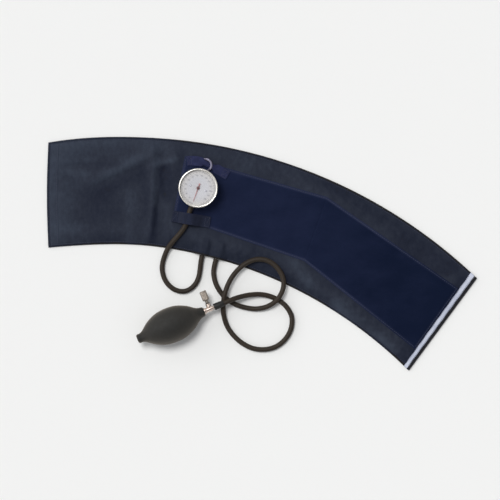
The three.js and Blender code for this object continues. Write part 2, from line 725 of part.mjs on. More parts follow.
const sectorPivot = onCircle([0, 0], pinionRadius + sectorRadius, SECTOR_ANGLE + 180);
const pinionUnder = movementFloor + PINION_LIFT;
const sectorUnder = pinionUnder + (PINION_HEIGHT - SECTOR_THICKNESS) / 2;
const tailTop = movementFloor + GAP + TAIL_THICKNESS;
const springUnder = pinionUnder + PINION_HEIGHT + PINION_LIFT;
const dialUnder = CASE_HEIGHT + GAP;
const dialTop = dialUnder + DIAL_THICKNESS;
const gasketUnder = dialTop + GAP;
const lensUnder = gasketUnder + GASKET_HEIGHT + GAP;
const pointerUnder = dialTop + POINTER_LIFT;
const lipUnder = lensUnder + LENS_THICKNESS + GAP;
const seatRadius = BEZEL_RADIUS - BEZEL_WALL;
const dialRadius = seatRadius - GAP;

function onCircle(centre, radius, angle) {
  return [centre[0] + radius * Math.cos(degrees(angle)), centre[1] + radius * Math.sin(degrees(angle))];
}

// A piece made about Z is laid along -Y at the height of the pressure stem.
const alongStem = (geometry) => geometry.rotateX(Math.PI / 2).translate(0, 0, stemZ);

function buildCase() {
  const cup = turned([
    [0, 0], [caseRadius - CASE_CORNER, 0], [caseRadius - 0.3 * CASE_CORNER, 0.3 * CASE_CORNER],
    [caseRadius, CASE_CORNER], [caseRadius, CASE_HEIGHT], [caseBore, CASE_HEIGHT],
    [caseBore, CASE_BACK + CASE_WALL], [caseBore - CASE_WALL, CASE_BACK], [0, CASE_BACK],
  ], 40);
  const hole = STEM_SHANK_RADIUS + GAP;
  const stemHole = alongStem(rod(hole, caseRadius - 2 * CASE_WALL, caseRadius + CASE_WALL, 16));
  const rivetHoles = hookRivets.map(
    ([x, y]) => rod(RIVET_RADIUS + GAP, -CASE_BACK, 2 * CASE_BACK, 12).translate(x, y, 0));
  add(gauge, 'gauge_case', cut(cup, stemHole, ...rivetHoles), chrome);

  const top = lipUnder + BEZEL_LIP_HEIGHT;
  const bottom = CASE_HEIGHT - BEZEL_SKIRT;
  const skirtBore = caseRadius + GAP;
  const shoulder = 0.3 * BEZEL_ROUNDING;
  const rim = BEZEL_RADIUS - BEZEL_ROUNDING;
  add(gauge, 'gauge_bezel', turned([
    [skirtBore, bottom], [rim, bottom],
    [BEZEL_RADIUS - shoulder, bottom + BEZEL_ROUNDING], [BEZEL_RADIUS, bottom + 2 * BEZEL_ROUNDING],
    [BEZEL_RADIUS, lipUnder - BEZEL_ROUNDING], [BEZEL_RADIUS - shoulder, lipUnder], [rim, top],
    [lipRadius + shoulder, top], [lipRadius, top - shoulder], [lipRadius, lipUnder],
    [seatRadius, lipUnder], [seatRadius, CASE_HEIGHT], [skirtBore, CASE_HEIGHT], [skirtBore, bottom],
  ], 40), chrome);

  const lensTop = lensUnder + LENS_THICKNESS;
  add(gauge, 'gauge_lens', turned([
    [0, lensUnder], [dialRadius, lensUnder], [dialRadius, lensTop], [lipRadius - GAP, lensTop],
    [0.55 * dialRadius, lensTop + 0.7 * LENS_DOME], [0, lensTop + LENS_DOME],
  ], 40), glass);
  const gasketBore = dialRadius - GASKET_WIDTH;
  const gasketTop = gasketUnder + GASKET_HEIGHT;
  add(gauge, 'lens_gasket', turned([
    [gasketBore, gasketUnder], [dialRadius, gasketUnder], [dialRadius, gasketTop],
    [gasketBore, gasketTop], [gasketBore, gasketUnder],
  ], 40), rubber);
}

const dialScrews = [[DIAL_SCREW_ORBIT, 0], [-DIAL_SCREW_ORBIT, 0]];
const screwHoles = (places) => places.map((at) => circle(SCREW_SHANK_RADIUS + GAP, at, 12));

function buildDial() {
  const holes = [circle(2 * ARBOR_RADIUS + GAP, [0, 0], 16), ...screwHoles(dialScrews)];
  const face = plate(circle(dialRadius, [0, 0], 40), holes, dialUnder, DIAL_THICKNESS);
  add(gauge, 'dial_plate', face, dialPaint);
  dialScrews.forEach(([x, y], i) => {
    const shankLength = dialTop - upperPlateZ;
    add(gauge, `dial_screw_${i + 1}`, screw(dialTop + GAP, shankLength).translate(x, y, 0), steel);
  });
}

// A screw standing on its seat: shank below, head above
function screw(seat, shankLength) {
  return turned([
    [0, seat - shankLength], [SCREW_SHANK_RADIUS, seat - shankLength], [SCREW_SHANK_RADIUS, seat],
    [SCREW_HEAD_RADIUS, seat], [SCREW_HEAD_RADIUS, seat + 0.7 * SCREW_HEAD_HEIGHT],
    [0.8 * SCREW_HEAD_RADIUS, seat + SCREW_HEAD_HEIGHT], [0, seat + SCREW_HEAD_HEIGHT],
  ], 12);
}

function buildPointer() {
  const zero = degrees(270);
  const half = POINTER_WIDTH / 2;
  const needle = plate([
    new THREE.Vector2(POINTER_LENGTH, -0.2 * half), new THREE.Vector2(POINTER_LENGTH, 0.2 * half),
    new THREE.Vector2(0, half), new THREE.Vector2(-POINTER_TAIL, 0.8 * half),
    new THREE.Vector2(-POINTER_TAIL, -0.8 * half), new THREE.Vector2(0, -half),
  ], [], pointerUnder, POINTER_THICKNESS);
  const hub = rod(POINTER_HUB_RADIUS, pointerUnder, pointerUnder + 1.6 * POINTER_THICKNESS, 20);
  const bore = rod(ARBOR_RADIUS + GAP, dialTop, lensUnder, 12);
  add(gauge, 'pointer', cut(joined(needle, hub), bore).rotateZ(zero), pointerPaint);
}

// Straight-sided teeth round a wheel, from the tooth at the first angle to the one at the last
function teeth(radius, firstAngle, pitch, count, centre) {
  const inner = radius - GEAR_DEDENDUM;
  const outer = radius + GEAR_ADDENDUM;
  const rootHalf = THREE.MathUtils.radToDeg(TOOTH_ROOT_WIDTH / 2 / radius);
  const tipHalf = THREE.MathUtils.radToDeg(TOOTH_TIP_WIDTH / 2 / radius);
  return evenly(0, count - 1, count - 1).flatMap((i) => {
    const angle = firstAngle + i * pitch;
    const corners = [[inner, -rootHalf], [outer, -tipHalf], [outer, tipHalf], [inner, rootHalf]];
    return corners.map(([r, turn]) => new THREE.Vector2(...onCircle(centre, r, angle + turn)));
  });
}

function buildGears() {
  const pinionPitch = 360 / PINION_TEETH;
  const pinionFirst = SECTOR_ANGLE + 180 + pinionPitch / 2;
  const pinionTeeth = teeth(pinionRadius, pinionFirst, pinionPitch, PINION_TEETH, [0, 0]);
  const pinion = plate(pinionTeeth, [], pinionUnder, PINION_HEIGHT);
  const collet = HAIRSPRING_INNER - 2 * GAP;
  const arborTop = pointerUnder + 2 * POINTER_THICKNESS;
  const shaft = turned([
    [0, lowerPlateZ + GAP], [ARBOR_RADIUS, lowerPlateZ + GAP], [ARBOR_RADIUS, springUnder],
    [collet, springUnder], [collet, springUnder + HAIRSPRING_HEIGHT],
    [ARBOR_RADIUS, springUnder + HAIRSPRING_HEIGHT], [ARBOR_RADIUS, arborTop], [0, arborTop],
  ], 16);
  add(gauge, 'pointer_arbor', joined(pinion, shaft), brass);

  const pitch = pinionPitch / SECTOR_RATIO;
  const first = SECTOR_ANGLE - SECTOR_TEETH_BEFORE * pitch;
  const count = SECTOR_TEETH_BEFORE + SECTOR_TEETH_AFTER + 1;
  const rim = teeth(sectorRadius, first, pitch, count, sectorPivot);
  const neck = 0.8 * SECTOR_HUB_RADIUS;
  const neckTurns = [first + count * pitch + SECTOR_NECK_TURN, first - SECTOR_NECK_TURN];
  const hubSides = neckTurns.map((angle) => new THREE.Vector2(...onCircle(sectorPivot, neck, angle)));
  const wedge = plate([...rim, ...hubSides], [], sectorUnder, SECTOR_THICKNESS);
  const [pivotX, pivotY] = sectorPivot;
  const hub = rod(SECTOR_HUB_RADIUS, movementFloor + GAP, sectorUnder + SECTOR_THICKNESS, 20)
    .translate(pivotX, pivotY, 0);
  const axle = rod(ARBOR_RADIUS, lowerPlateZ + GAP, upperPlateZ + PLATE_THICKNESS - GAP, 12)
    .translate(pivotX, pivotY, 0);
  const tail = block(pivotX, pivotX + 1.5 * SECTOR_TAIL_REACH, pivotY - TAIL_HALF_WIDTH,
    pivotY + TAIL_HALF_WIDTH, movementFloor + GAP, tailTop);
  add(gauge, 'sector_gear', joined(wedge, hub, axle, tail), brass);
}

// The rocking shaft turns the lift of the push pin into the swing of the sector.
function buildRocker() {
  const half = ROCKER_ARM_THICKNESS / 2;
  const contactX = sectorPivot[0] + SECTOR_TAIL_REACH;
  const contactY = sectorPivot[1] - TAIL_HALF_WIDTH - GAP;
  const shaft = rod(ROCKER_RADIUS, contactX - ROCKER_OVERHANG, ROCKER_OVERHANG, 12)
    .rotateY(Math.PI / 2).translate(0, ROCKER_Y, rockerZ);
  const lever = block(-PUSH_PIN_RADIUS, PUSH_PIN_RADIUS, -1.5 * PUSH_PIN_RADIUS, ROCKER_Y,
    rockerZ - half, rockerZ + half);
  const bridge = block(contactX - half, contactX + half, ROCKER_Y, contactY, rockerZ - half, rockerZ + half);
  const arm = block(contactX - half, contactX + half, contactY - ROCKER_ARM_THICKNESS, contactY,
    rockerZ, tailTop);
  add(gauge, 'rocking_shaft', joined(shaft, lever, bridge, arm), steel);
  const pinTop = pinUnder + pinHeight;
  add(gauge, 'push_pin', turned([
    [0, pinUnder], [PUSH_PIN_RADIUS, pinUnder], [PUSH_PIN_RADIUS, pinTop - 0.4 * PUSH_PIN_RADIUS],
    [0.6 * PUSH_PIN_RADIUS, pinTop], [0, pinTop],
  ], 16), steel);
}

function buildPlates() {
  const pillars = PILLAR_ANGLES.map((angle) => onCircle([0, 0], pillarOrbit, angle));
  const contactX = sectorPivot[0] + SECTOR_TAIL_REACH;
  const contactY = sectorPivot[1] - TAIL_HALF_WIDTH - GAP;
  const slotHalf = ROCKER_ARM_THICKNESS / 2 + GAP;
  const slotStart = contactY - ROCKER_ARM_THICKNESS - GAP;
  const slotEnd = contactY + ROCKER_SWING;
  const pivotHoles = [[0, 0], sectorPivot].map((at) => circle(ARBOR_RADIUS + GAP, at, 12));
  const slot = [
    [contactX - slotHalf, slotStart], [contactX + slotHalf, slotStart],
    [contactX + slotHalf, slotEnd], [contactX - slotHalf, slotEnd],
  ].map((at) => new THREE.Vector2(...at));
  const disc = circle(plateRadius, [0, 0], 36);
  const lower = plate(disc, [...pivotHoles, slot], lowerPlateZ, PLATE_THICKNESS);
  const ears = [contactX - ROCKER_OVERHANG, ROCKER_OVERHANG - EAR_WIDTH].map((x) => block(
    x, x + EAR_WIDTH, ROCKER_Y - EAR_REACH, ROCKER_Y + EAR_REACH,
    rockerZ - EAR_REACH, lowerPlateZ + PLATE_THICKNESS / 2));
  const shaftBore = rod(ROCKER_RADIUS + GAP, contactX - 2 * ROCKER_OVERHANG, 2 * ROCKER_OVERHANG, 12)
    .rotateY(Math.PI / 2).translate(0, ROCKER_Y, rockerZ);
  add(gauge, 'lower_plate', cut(joined(lower, ...ears), shaftBore), brass);

  const upperHoles = [...pivotHoles, ...screwHoles([...pillars, ...dialScrews])];
  add(gauge, 'upper_plate', plate(disc, upperHoles, upperPlateZ, PLATE_THICKNESS), brass);

  const screwReach = PLATE_THICKNESS + 2 * PILLAR_RADIUS;
  pillars.forEach(([x, y], i) => {
    const post = rod(PILLAR_RADIUS, CASE_BACK + GAP, lowerPlateZ - GAP, 12).translate(x, y, 0);
    add(gauge, `base_post_${i + 1}`, post, brass);
    const top = upperPlateZ - GAP;
    const bore = SCREW_SHANK_RADIUS + GAP;
    const pillar = turned([
      [0, movementFloor + GAP], [PILLAR_RADIUS, movementFloor + GAP], [PILLAR_RADIUS, top], [bore, top],
      [bore, upperPlateZ - screwReach - GAP], [0, upperPlateZ - screwReach - GAP],
    ], 12).translate(x, y, 0);
    add(gauge, `movement_pillar_${i + 1}`, pillar, brass);
    const seat = upperPlateZ + PLATE_THICKNESS + GAP;
    add(gauge, `plate_screw_${i + 1}`, screw(seat, screwReach).translate(x, y, 0), steel);
  });
}

// A flat spiral that winds from the collet out to its stud
function buildHairspring() {
  const steps = Math.round(16 * HAIRSPRING_TURNS);
  const rings = evenly(0, HAIRSPRING_TURNS, steps).map((turn) => {
    const radius = HAIRSPRING_INNER + HAIRSPRING_PITCH * turn;
    const inner = onCircle([0, 0], radius, 360 * turn);
    const outer = onCircle([0, 0], radius + HAIRSPRING_BAND, 360 * turn);
    const top = springUnder + HAIRSPRING_HEIGHT;
    return [new THREE.Vector3(...inner, springUnder), new THREE.Vector3(...outer, springUnder),
      new THREE.Vector3(...outer, top), new THREE.Vector3(...inner, top)];
  });
  add(gauge, 'hairspring', lofted(rings), steel);
  const end = HAIRSPRING_INNER + HAIRSPRING_PITCH * HAIRSPRING_TURNS + HAIRSPRING_BAND;
  const studRadius = 2 * HAIRSPRING_BAND;
  const [x, y] = onCircle([0, 0], end + GAP + studRadius, 360 * HAIRSPRING_TURNS);
  const stud = rod(studRadius, springUnder, upperPlateZ - GAP, 12).translate(x, y, 0);
  add(gauge, 'hairspring_stud', stud, brass);
}

// A corrugated diaphragm capsule, open at its neck
function buildCapsule() {
  const neckHeight = 0.25 * capsuleHeight;
  const swell = (capsuleHeight - neckHeight) / 2;
  const middle = capsuleUnder + neckHeight + swell;
  const skin = evenly(0, 1, 8).map((t) => {
    const wave = Math.cos(2 * Math.PI * CAPSULE_WAVES * t);
    return [lerp(CAPSULE_NECK_RADIUS, capsuleRadius, t), swell * (0.75 + 0.25 * wave) * (1 - t ** 6)];
  });
  const lining = skin.map(([radius, height], i) => [
    radius - CAPSULE_WALL * i / (skin.length - 1), Math.max(height - CAPSULE_WALL, 0.1 * CAPSULE_WALL)]);
  const raised = (face) => face.map(([radius, height]) => [radius, middle + height]);
  const lowered = (face) => face.map(([radius, height]) => [radius, middle - height]);
  const profile = [
    [0, middle + swell], ...raised(skin), ...lowered(skin.slice(0, -1)).reverse(),
    [CAPSULE_NECK_RADIUS, capsuleUnder], [STEM_BORE, capsuleUnder],
    [STEM_BORE, middle - swell + CAPSULE_WALL],
    ...lowered(lining), ...raised(lining.slice(0, -1)).reverse(), [0, middle + swell - CAPSULE_WALL],
  ];
  add(gauge, 'capsule', turned(profile, 24), brass);
}

const stemFlange = caseRadius + GAP;
const stemBarb = stemFlange + STEM_FLANGE_LENGTH;
const stemTip = stemBarb + STEM_BARB_LENGTH;

function buildInlet() {
  const half = BLOCK_WIDTH / 2;
  const barEnd = caseBore - GAP;
  const centre = rod(1.7 * half, blockUnder, blockTop, 24);
  const bar = block(-half, half, -barEnd + CASE_WALL, 0, blockUnder, blockTop);
  const channel = alongStem(rod(STEM_BORE, 0, caseBore, 12));
  const riser = rod(STEM_BORE, stemZ, blockTop + 1, 12);
  const shankStart = caseBore - STEM_SHANK_DEPTH;
  const counterbore = alongStem(rod(STEM_SHANK_RADIUS + GAP, shankStart - GAP, caseBore, 16));
  add(gauge, 'inlet_block', cut(joined(centre, bar), channel, riser, counterbore), brass);

  const stem = turned([
    [STEM_BORE, shankStart], [STEM_SHANK_RADIUS, shankStart], [STEM_SHANK_RADIUS, stemFlange],
    [STEM_FLANGE_RADIUS, stemFlange], [STEM_FLANGE_RADIUS, stemBarb], [BARB_RADIUS, stemBarb],
    ...barb(stemBarb, STEM_BARB_LENGTH), [STEM_BORE, stemTip], [STEM_BORE, shankStart],
  ], 16);
  add(gauge, 'inlet_stem', alongStem(stem), nickel);
}

// Two ridges of a hose barb, each steep behind and sloping ahead
function barb(start, length) {
  const pitch = length / 2;
  return [start, start + pitch].flatMap((foot) => [
    [BARB_RADIUS, foot + 0.3 * pitch], [BARB_RADIUS + BARB_RIDGE, foot + 0.35 * pitch],
    [BARB_RADIUS, foot + pitch],
  ]);
}

// The hook lies under the case, rises past the strap's edge, curls over the strap and tucks its tip beneath.
const hookRivets = HOOK_RIVETS.map(([x, inset]) => [x, caseRadius - inset]);

function buildHook() {
  const plateZ = -GAP - HOOK_THICKNESS;
  const overStrap = STRAP_SHARE_AT_CURL * strapLift + STRAP_THICKNESS + GAP;
  const shank = [...HOOK_SHANK.map(([x, inset]) => [x, caseRadius - inset, 0]), HOOK_SHANK_END];
  const curl = evenly(-40, 170, 12).map((angle) => {
    const rise = smoothstep(angle, -50, -22) - smoothstep(angle, 76, 124);
    return [...onCircle(HOOK_CURL_CENTRE, HOOK_CURL_RADIUS, angle), rise];
  });
  const points = [...shank, ...curl].map(
    ([x, y, share]) => new THREE.Vector3(x, y, plateZ + overStrap * share));
  const strip = band(new THREE.CatmullRomCurve3(points), 40, () => HOOK_WIDTH, HOOK_THICKNESS);
  const holes = hookRivets.map(([x, y]) => rod(RIVET_RADIUS + GAP, plateZ - 1, 1, 12).translate(x, y, 0));
  add(gauge, 'gauge_hook', cut(strip, ...holes), chrome);
  hookRivets.forEach(([x, y], i) => {
    const head = CASE_BACK + GAP;
    const rivet = turned([
      [0, plateZ], [RIVET_RADIUS, plateZ], [RIVET_RADIUS, head], [RIVET_HEAD_RADIUS, head],
      [0.7 * RIVET_HEAD_RADIUS, head + RIVET_RADIUS], [0, head + RIVET_RADIUS],
    ], 12).translate(x, y, 0);
    add(gauge, `hook_rivet_${i + 1}`, rivet, steel);
  });
}

// Bulb, in its own frame: X runs along its axis from the rear end, Y points to the knob's side
const bulbCurve = new THREE.SplineCurve(BULB_OUTLINE.map((point) => new THREE.Vector2(...point)));
const bulbSkin = bulbCurve.getPoints(16);
const bulbLength = BULB_OUTLINE.at(-1)[0];
const tilt = degrees(BULB_TILT);
const bulbRise = Math.max(...bulbSkin.map(({ x, y }) => y * Math.cos(tilt) + x * Math.sin(tilt)));
const bulbGroup = new THREE.Group();
bulbGroup.position.set(...BULB_REAR, bulbRise);
bulbGroup.rotation.set(0, tilt, degrees(BULB_TURN), 'ZYX');
part.add(bulbGroup);

const valveFlange = bulbLength + GAP;
const valveBody = valveFlange + VALVE_FLANGE_LENGTH;
const valveBarb = valveBody + VALVE_BODY_LENGTH;
const spigotStart = bulbLength - SPIGOT_LENGTH;
const screwAlong = valveBody + SCREW_PLACE * VALVE_BODY_LENGTH;
const chamberRadius = VALVE_BORE + CHAMBER_STEP;
const discUnder = spigotStart + RETAINER_LENGTH + GAP;
const chamberEnd = discUnder + CHECK_DISC_THICKNESS + CHECK_DISC_TRAVEL + 3 * GAP;
const alongBulb = (geometry) => geometry.rotateY(Math.PI / 2);

// A piece made about Z is laid along +Y where the release screw goes in.
const alongScrew = (geometry) => geometry.rotateX(-Math.PI / 2).translate(screwAlong, 0, 0);

function buildBulb() {
  const outer = bulbSkin.map(({ x, y }) => [y, x]);
  const inner = outer.map(([radius, along]) => [Math.max(NECK_BORE, radius - BULB_WALL), along]).reverse();
  add(bulbGroup, 'bulb', alongBulb(turned([...outer, ...inner, outer[0]], 24)), rubber);
}

function buildIntake() {
  const radius = NECK_BORE - GAP;
  const seat = INTAKE_RECESS + INTAKE_SEAT_LENGTH;
  const chamber = INTAKE_BALL_RADIUS + 2 * GAP;
  const hole = 0.6 * INTAKE_BALL_RADIUS;
  const ballAt = seat + Math.sqrt(INTAKE_BALL_RADIUS ** 2 - hole ** 2) + GAP;
  const lip = ballAt + INTAKE_BALL_TRAVEL + INTAKE_BALL_RADIUS + GAP;
  const start = 2 * GAP;
  const end = lip + 2 * INTAKE_RIM;
  const rim = radius - INTAKE_RIM;
  const floor = start + INTAKE_RECESS;
  add(bulbGroup, 'intake_body', alongBulb(turned([
    [radius, start], [radius, end], [hole, end], [hole, lip], [chamber, lip], [chamber, seat], [hole, seat],
    [hole, floor], [rim, floor], [rim, start], [radius, start],
  ], 20)), nickel);
  const ball = new THREE.SphereGeometry(INTAKE_BALL_RADIUS, 16, 10).translate(0, 0, ballAt);
  add(bulbGroup, 'intake_ball', alongBulb(ball), steel);
  const places = Array.from({ length: SCREEN_HOLES }, (_, i) => (
    onCircle([0, 0], SCREEN_HOLE_ORBIT, 360 * i / SCREEN_HOLES)));
  const holes = [[0, 0], ...places].map((at) => circle(SCREEN_HOLE_RADIUS, at, 8));
  const screen = plate(circle(rim - GAP, [0, 0], 20), holes, start, INTAKE_RECESS - GAP);
  add(bulbGroup, 'intake_screen', alongBulb(screen), steel);
}

function buildReleaseValve() {
  const spigot = NECK_BORE - GAP;
  const valveEnd = valveBarb + VALVE_BARB_LENGTH;
  const body = alongBulb(turned([
    [0, spigotStart], [spigot, spigotStart], [spigot, valveFlange], [VALVE_FLANGE_RADIUS, valveFlange],
    [VALVE_FLANGE_RADIUS, valveBody], [VALVE_RADIUS, valveBody], [VALVE_RADIUS, valveBarb],
    [BARB_RADIUS, valveBarb], ...barb(valveBarb, VALVE_BARB_LENGTH), [0, valveEnd],
  ], 20));
  const boss = alongScrew(rod(SCREW_BOSS_RADIUS, 0, SCREW_BOSS_REACH, 20));
  const bore = alongBulb(rod(VALVE_BORE, spigotStart - 1, valveEnd + 1, 14));
  const chamber = alongBulb(rod(chamberRadius, spigotStart - 1, chamberEnd, 18));
  const screwBore = alongScrew(rod(SCREW_STEM_RADIUS + GAP, screwTip - GAP, SCREW_BOSS_REACH + 1, 16));
  const bleed = alongScrew(rod(0.5 * VALVE_BORE, 0, SCREW_BOSS_REACH, 8));
  add(bulbGroup, 'release_valve_body', cut(joined(body, boss), bore, chamber, screwBore, bleed), nickel);

  const retainerBore = 0.7 * VALVE_BORE;
  const retainerEnd = spigotStart + RETAINER_LENGTH;
  const retainer = turned([
    [retainerBore, spigotStart], [chamberRadius - GAP, spigotStart], [chamberRadius - GAP, retainerEnd],
    [retainerBore, retainerEnd], [retainerBore, spigotStart],
  ], 16);
  add(bulbGroup, 'disc_retainer', alongBulb(retainer), steel);
  const disc = rod(chamberRadius - 2 * GAP, discUnder, discUnder + CHECK_DISC_THICKNESS, 16);
  add(bulbGroup, 'outlet_disc', alongBulb(disc), rubber);
}

const screwTip = VALVE_BORE + SCREW_TIP_CLEARANCE;
const ringStart = SCREW_BOSS_REACH + GAP;
const neckStart = ringStart + O_RING_THICKNESS + GAP;
const knobStart = neckStart + KNOB_NECK_LENGTH;

function buildReleaseScrew() {
  const ringOuter = SCREW_BOSS_RADIUS;
  const ringInner = SCREW_STEM_RADIUS + GAP;
  const ring = turned([
    [ringInner, ringStart], [ringOuter, ringStart], [ringOuter, ringStart + O_RING_THICKNESS],
    [ringInner, ringStart + O_RING_THICKNESS], [ringInner, ringStart],
  ], 20);
  add(bulbGroup, 'release_o_ring', alongScrew(ring), rubber);

  const stem = turned([
    [0, screwTip], [0.4 * SCREW_STEM_RADIUS, screwTip], [SCREW_STEM_RADIUS, screwTip + SCREW_STEM_RADIUS],
    [SCREW_STEM_RADIUS, neckStart], [KNOB_NECK_RADIUS, neckStart],
    [KNOB_NECK_RADIUS, knobStart + KNOB_SHOULDER], [0, knobStart + KNOB_SHOULDER],
  ], 16);
  const knobEnd = knobStart + KNOB_LENGTH;
  const knobOutline = circle(KNOB_RADIUS, [0, 0], 2 * KNOB_FLUTES)
    .map((point, i) => point.multiplyScalar(i % 2 === 0 ? 1 : 1 - FLUTE_DEPTH / KNOB_RADIUS));
  const grip = plate(knobOutline, [], knobStart + KNOB_SHOULDER, KNOB_LENGTH - 2 * KNOB_SHOULDER);
  const coreRadius = KNOB_RADIUS - KNOB_SHOULDER;
  const core = turned([[0, knobStart], [coreRadius, knobStart], [coreRadius, knobEnd], [0, knobEnd]], 20);
  add(bulbGroup, 'release_screw', alongScrew(joined(stem, core, grip)), steel);
}

function buildSleeve() {
  const start = valveBarb + 0.3 * VALVE_BARB_LENGTH;
  const end = start + SLEEVE_LENGTH;
  const bore = BARB_RADIUS + BARB_RIDGE + GAP;
  const sleeve = turned([
    [bore, start], [SLEEVE_RADIUS, start], [SLEEVE_RADIUS, start + 0.6 * SLEEVE_LENGTH],
    [TUBE_DIAMETER / 2 + SLEEVE_LIP, end], [bore, end], [bore, start],
  ], 20);
  add(bulbGroup, 'tube_sleeve', alongBulb(sleeve), rubber);
}

// Tube routes: centre points chosen along the way each tube lies, from the stem or to the ports
const GAUGE_TUBE_ROUTE = [
  [-102.7, 2.4, 15.4], [-104.4, -4.1, 14.9], [-106.3, -10.8, 13.9], [-109.9, -18.2, 12.6],
  [-115.1, -25.1, 11.4], [-120.9, -31.9, 10.4], [-126.6, -38.6, 8.9], [-131.7, -46.3, 6.8],
  [-135.7, -55.7, 4.6], [-138.2, -64.6, 3.5], [-138.9, -72.0, 3.4], [-137.8, -79.9, 3.4],
  [-135.0, -87.4, 3.4], [-130.4, -94.1, 3.4], [-124.1, -99.4, 3.4], [-116.6, -102.5, 3.4],
  [-108.9, -102.9, 3.4], [-101.8, -100.3, 3.4], [-95.9, -95.4, 3.4], [-91.6, -89.0, 3.4],
  [-89.0, -81.3, 3.4], [-87.7, -72.6, 3.7], [-86.6, -63.3, 4.5],
];
const BULB_TUBE_ROUTE = [
  [-67.9, -66.6, 4.5], [-69.4, -78.0, 3.6], [-66.8, -91.5, 3.4], [-60.6, -103.3, 3.4],
  [-51.8, -113.2, 3.4], [-40.5, -120.3, 3.4], [-26.5, -124.9, 3.4], [-12.0, -126.6, 4.1],
  [2.0, -123.9, 6.8], [13.2, -117.4, 9.9], [21.2, -107.4, 11.0], [25.1, -95.2, 10.9],
  [23.4, -82.7, 11.0], [16.4, -71.2, 11.2], [5.4, -62.6, 11.3], [-7.8, -59.7, 11.3],
  [-21.0, -62.8, 11.1], [-33.0, -70.7, 10.8], [-43.2, -81.9, 10.5], [-50.8, -95.9, 10.6],
  [-55.1, -110.4, 10.7], [-56.5, -123.5, 8.6], [-55.4, -137.0, 5.0], [-50.9, -150.3, 3.5],
  [-42.2, -162.8, 3.4], [-30.0, -173.4, 3.4], [-15.3, -180.2, 3.4], [0.8, -181.4, 3.4],
  [16.0, -177.0, 3.4], [28.2, -166.5, 3.4], [35.3, -152.5, 3.4], [35.8, -136.8, 3.4],
  [27.8, -122.6, 3.4], [14.0, -112.6, 3.5], [-3.0, -107.5, 5.2], [-21.0, -107.9, 10.0],
  [-38.5, -112.0, 15.9], [-49.9, -116.5, 18.5], [-55.6, -118.9, 18.9],
];

function tube(route) {
  const points = route.map((point) => new THREE.Vector3(...point));
  const path = new THREE.CatmullRomCurve3(points, false, 'centripetal');
  const section = new THREE.Shape(circle(TUBE_DIAMETER / 2, [0, 0], TUBE_SIDES));
  const steps = Math.round(path.getLength() / TUBE_STEP);
  return new THREE.ExtrudeGeometry(section, { steps, bevelEnabled: false, extrudePath: path });
}

function buildTubes() {
  gauge.updateMatrixWorld();
  const stemEnd = gauge.localToWorld(new THREE.Vector3(0, -stemTip - GAP, stemZ)).toArray();
  const [gaugePort, bulbPort] = portAngles.map((angle) => {
    const mouth = onArc(bottomArc, angle);
    const outwards = portDirection(angle).multiplyScalar(-GAP);
    return [mouth.x + outwards.x, mouth.y + outwards.y, portAxisZ];
  });
  add(part, 'gauge_tube', tube([stemEnd, ...GAUGE_TUBE_ROUTE, gaugePort]), tubing);
  add(part, 'bulb_tube', tube([bulbPort, ...BULB_TUBE_ROUTE]), tubing);
}

buildShells();
buildHookPanel();
buildEnd();
buildLoopPanel();
buildBladder();
buildStraps();
buildCase();
buildDial();
buildPointer();
buildGears();
buildRocker();
buildPlates();
buildHairspring();
buildCapsule();
buildInlet();
buildHook();
buildBulb();
buildIntake();
buildReleaseValve();
buildReleaseScrew();
buildSleeve();
buildTubes();

export default part;
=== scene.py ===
"""Looks of an aneroid sphygmomanometer lying flat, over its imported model.

Sizes are in millimetres unless a line says metres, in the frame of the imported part: X runs along the
cuff, Y across it, and Z up from the table. Meshes and cord routes reach Blender in metres.
"""

import logging
import math
from dataclasses import dataclass
from enum import Enum
from typing import Any

import bmesh
import bpy
import numpy as np
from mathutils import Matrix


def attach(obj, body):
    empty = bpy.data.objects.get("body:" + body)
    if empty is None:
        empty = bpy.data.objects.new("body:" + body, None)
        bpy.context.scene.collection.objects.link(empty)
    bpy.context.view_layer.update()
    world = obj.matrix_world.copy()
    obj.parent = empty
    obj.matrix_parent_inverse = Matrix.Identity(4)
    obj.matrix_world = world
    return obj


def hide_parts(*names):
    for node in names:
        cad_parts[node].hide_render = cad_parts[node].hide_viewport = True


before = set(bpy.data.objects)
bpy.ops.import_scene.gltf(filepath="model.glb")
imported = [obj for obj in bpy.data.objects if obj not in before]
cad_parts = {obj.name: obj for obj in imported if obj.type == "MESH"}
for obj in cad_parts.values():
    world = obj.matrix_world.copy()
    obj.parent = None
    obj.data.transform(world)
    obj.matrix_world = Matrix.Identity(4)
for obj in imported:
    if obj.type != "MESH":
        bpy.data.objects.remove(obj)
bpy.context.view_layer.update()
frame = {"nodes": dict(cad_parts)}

logging.basicConfig(level=logging.INFO, format="%(message)s")
logger = logging.getLogger("sphygmomanometer")

Array = np.ndarray
Part = bpy.types.Object
Colour = tuple[int, int, int]
Pair = tuple[float, float]
Point = tuple[float, float, float]

MM = 0.001  # a millimetre in metres
GAP = 0.3  # air between pieces that lie on each other
WELD = 1e-6  # points of one mesh closer than this, in metres, are merged
CUTS_A_SPAN = 48  # points that a smooth curve is worked out at, between two points of its route
HALVINGS = 26  # steps of the search for a place's station, to 3e-8 of the cuff's length
SOFT_CREASE = 70.0  # the angle in degrees past which an edge of cloth is sharp


class Slot(Enum):
    """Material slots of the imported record."""

    NYLON = "nylon"
    HOOK_TAPE = "hook_tape"
    LOOP_PILE = "loop_pile"
    WHITE_TAPE = "white_tape"
    WEBBING = "webbing"
    BLACK_RUBBER = "black_rubber"
    TUBE_RUBBER = "tube_rubber"
    PLATED_METAL = "plated_metal"
    CLEAR_LENS = "clear_lens"
    DIAL_PAINT = "dial_paint"
    POINTER_PAINT = "pointer_paint"
    BRASS = "brass"
    STEEL = "steel"
    KNURLED_STEEL = "knurled_steel"
    NICKEL = "nickel"


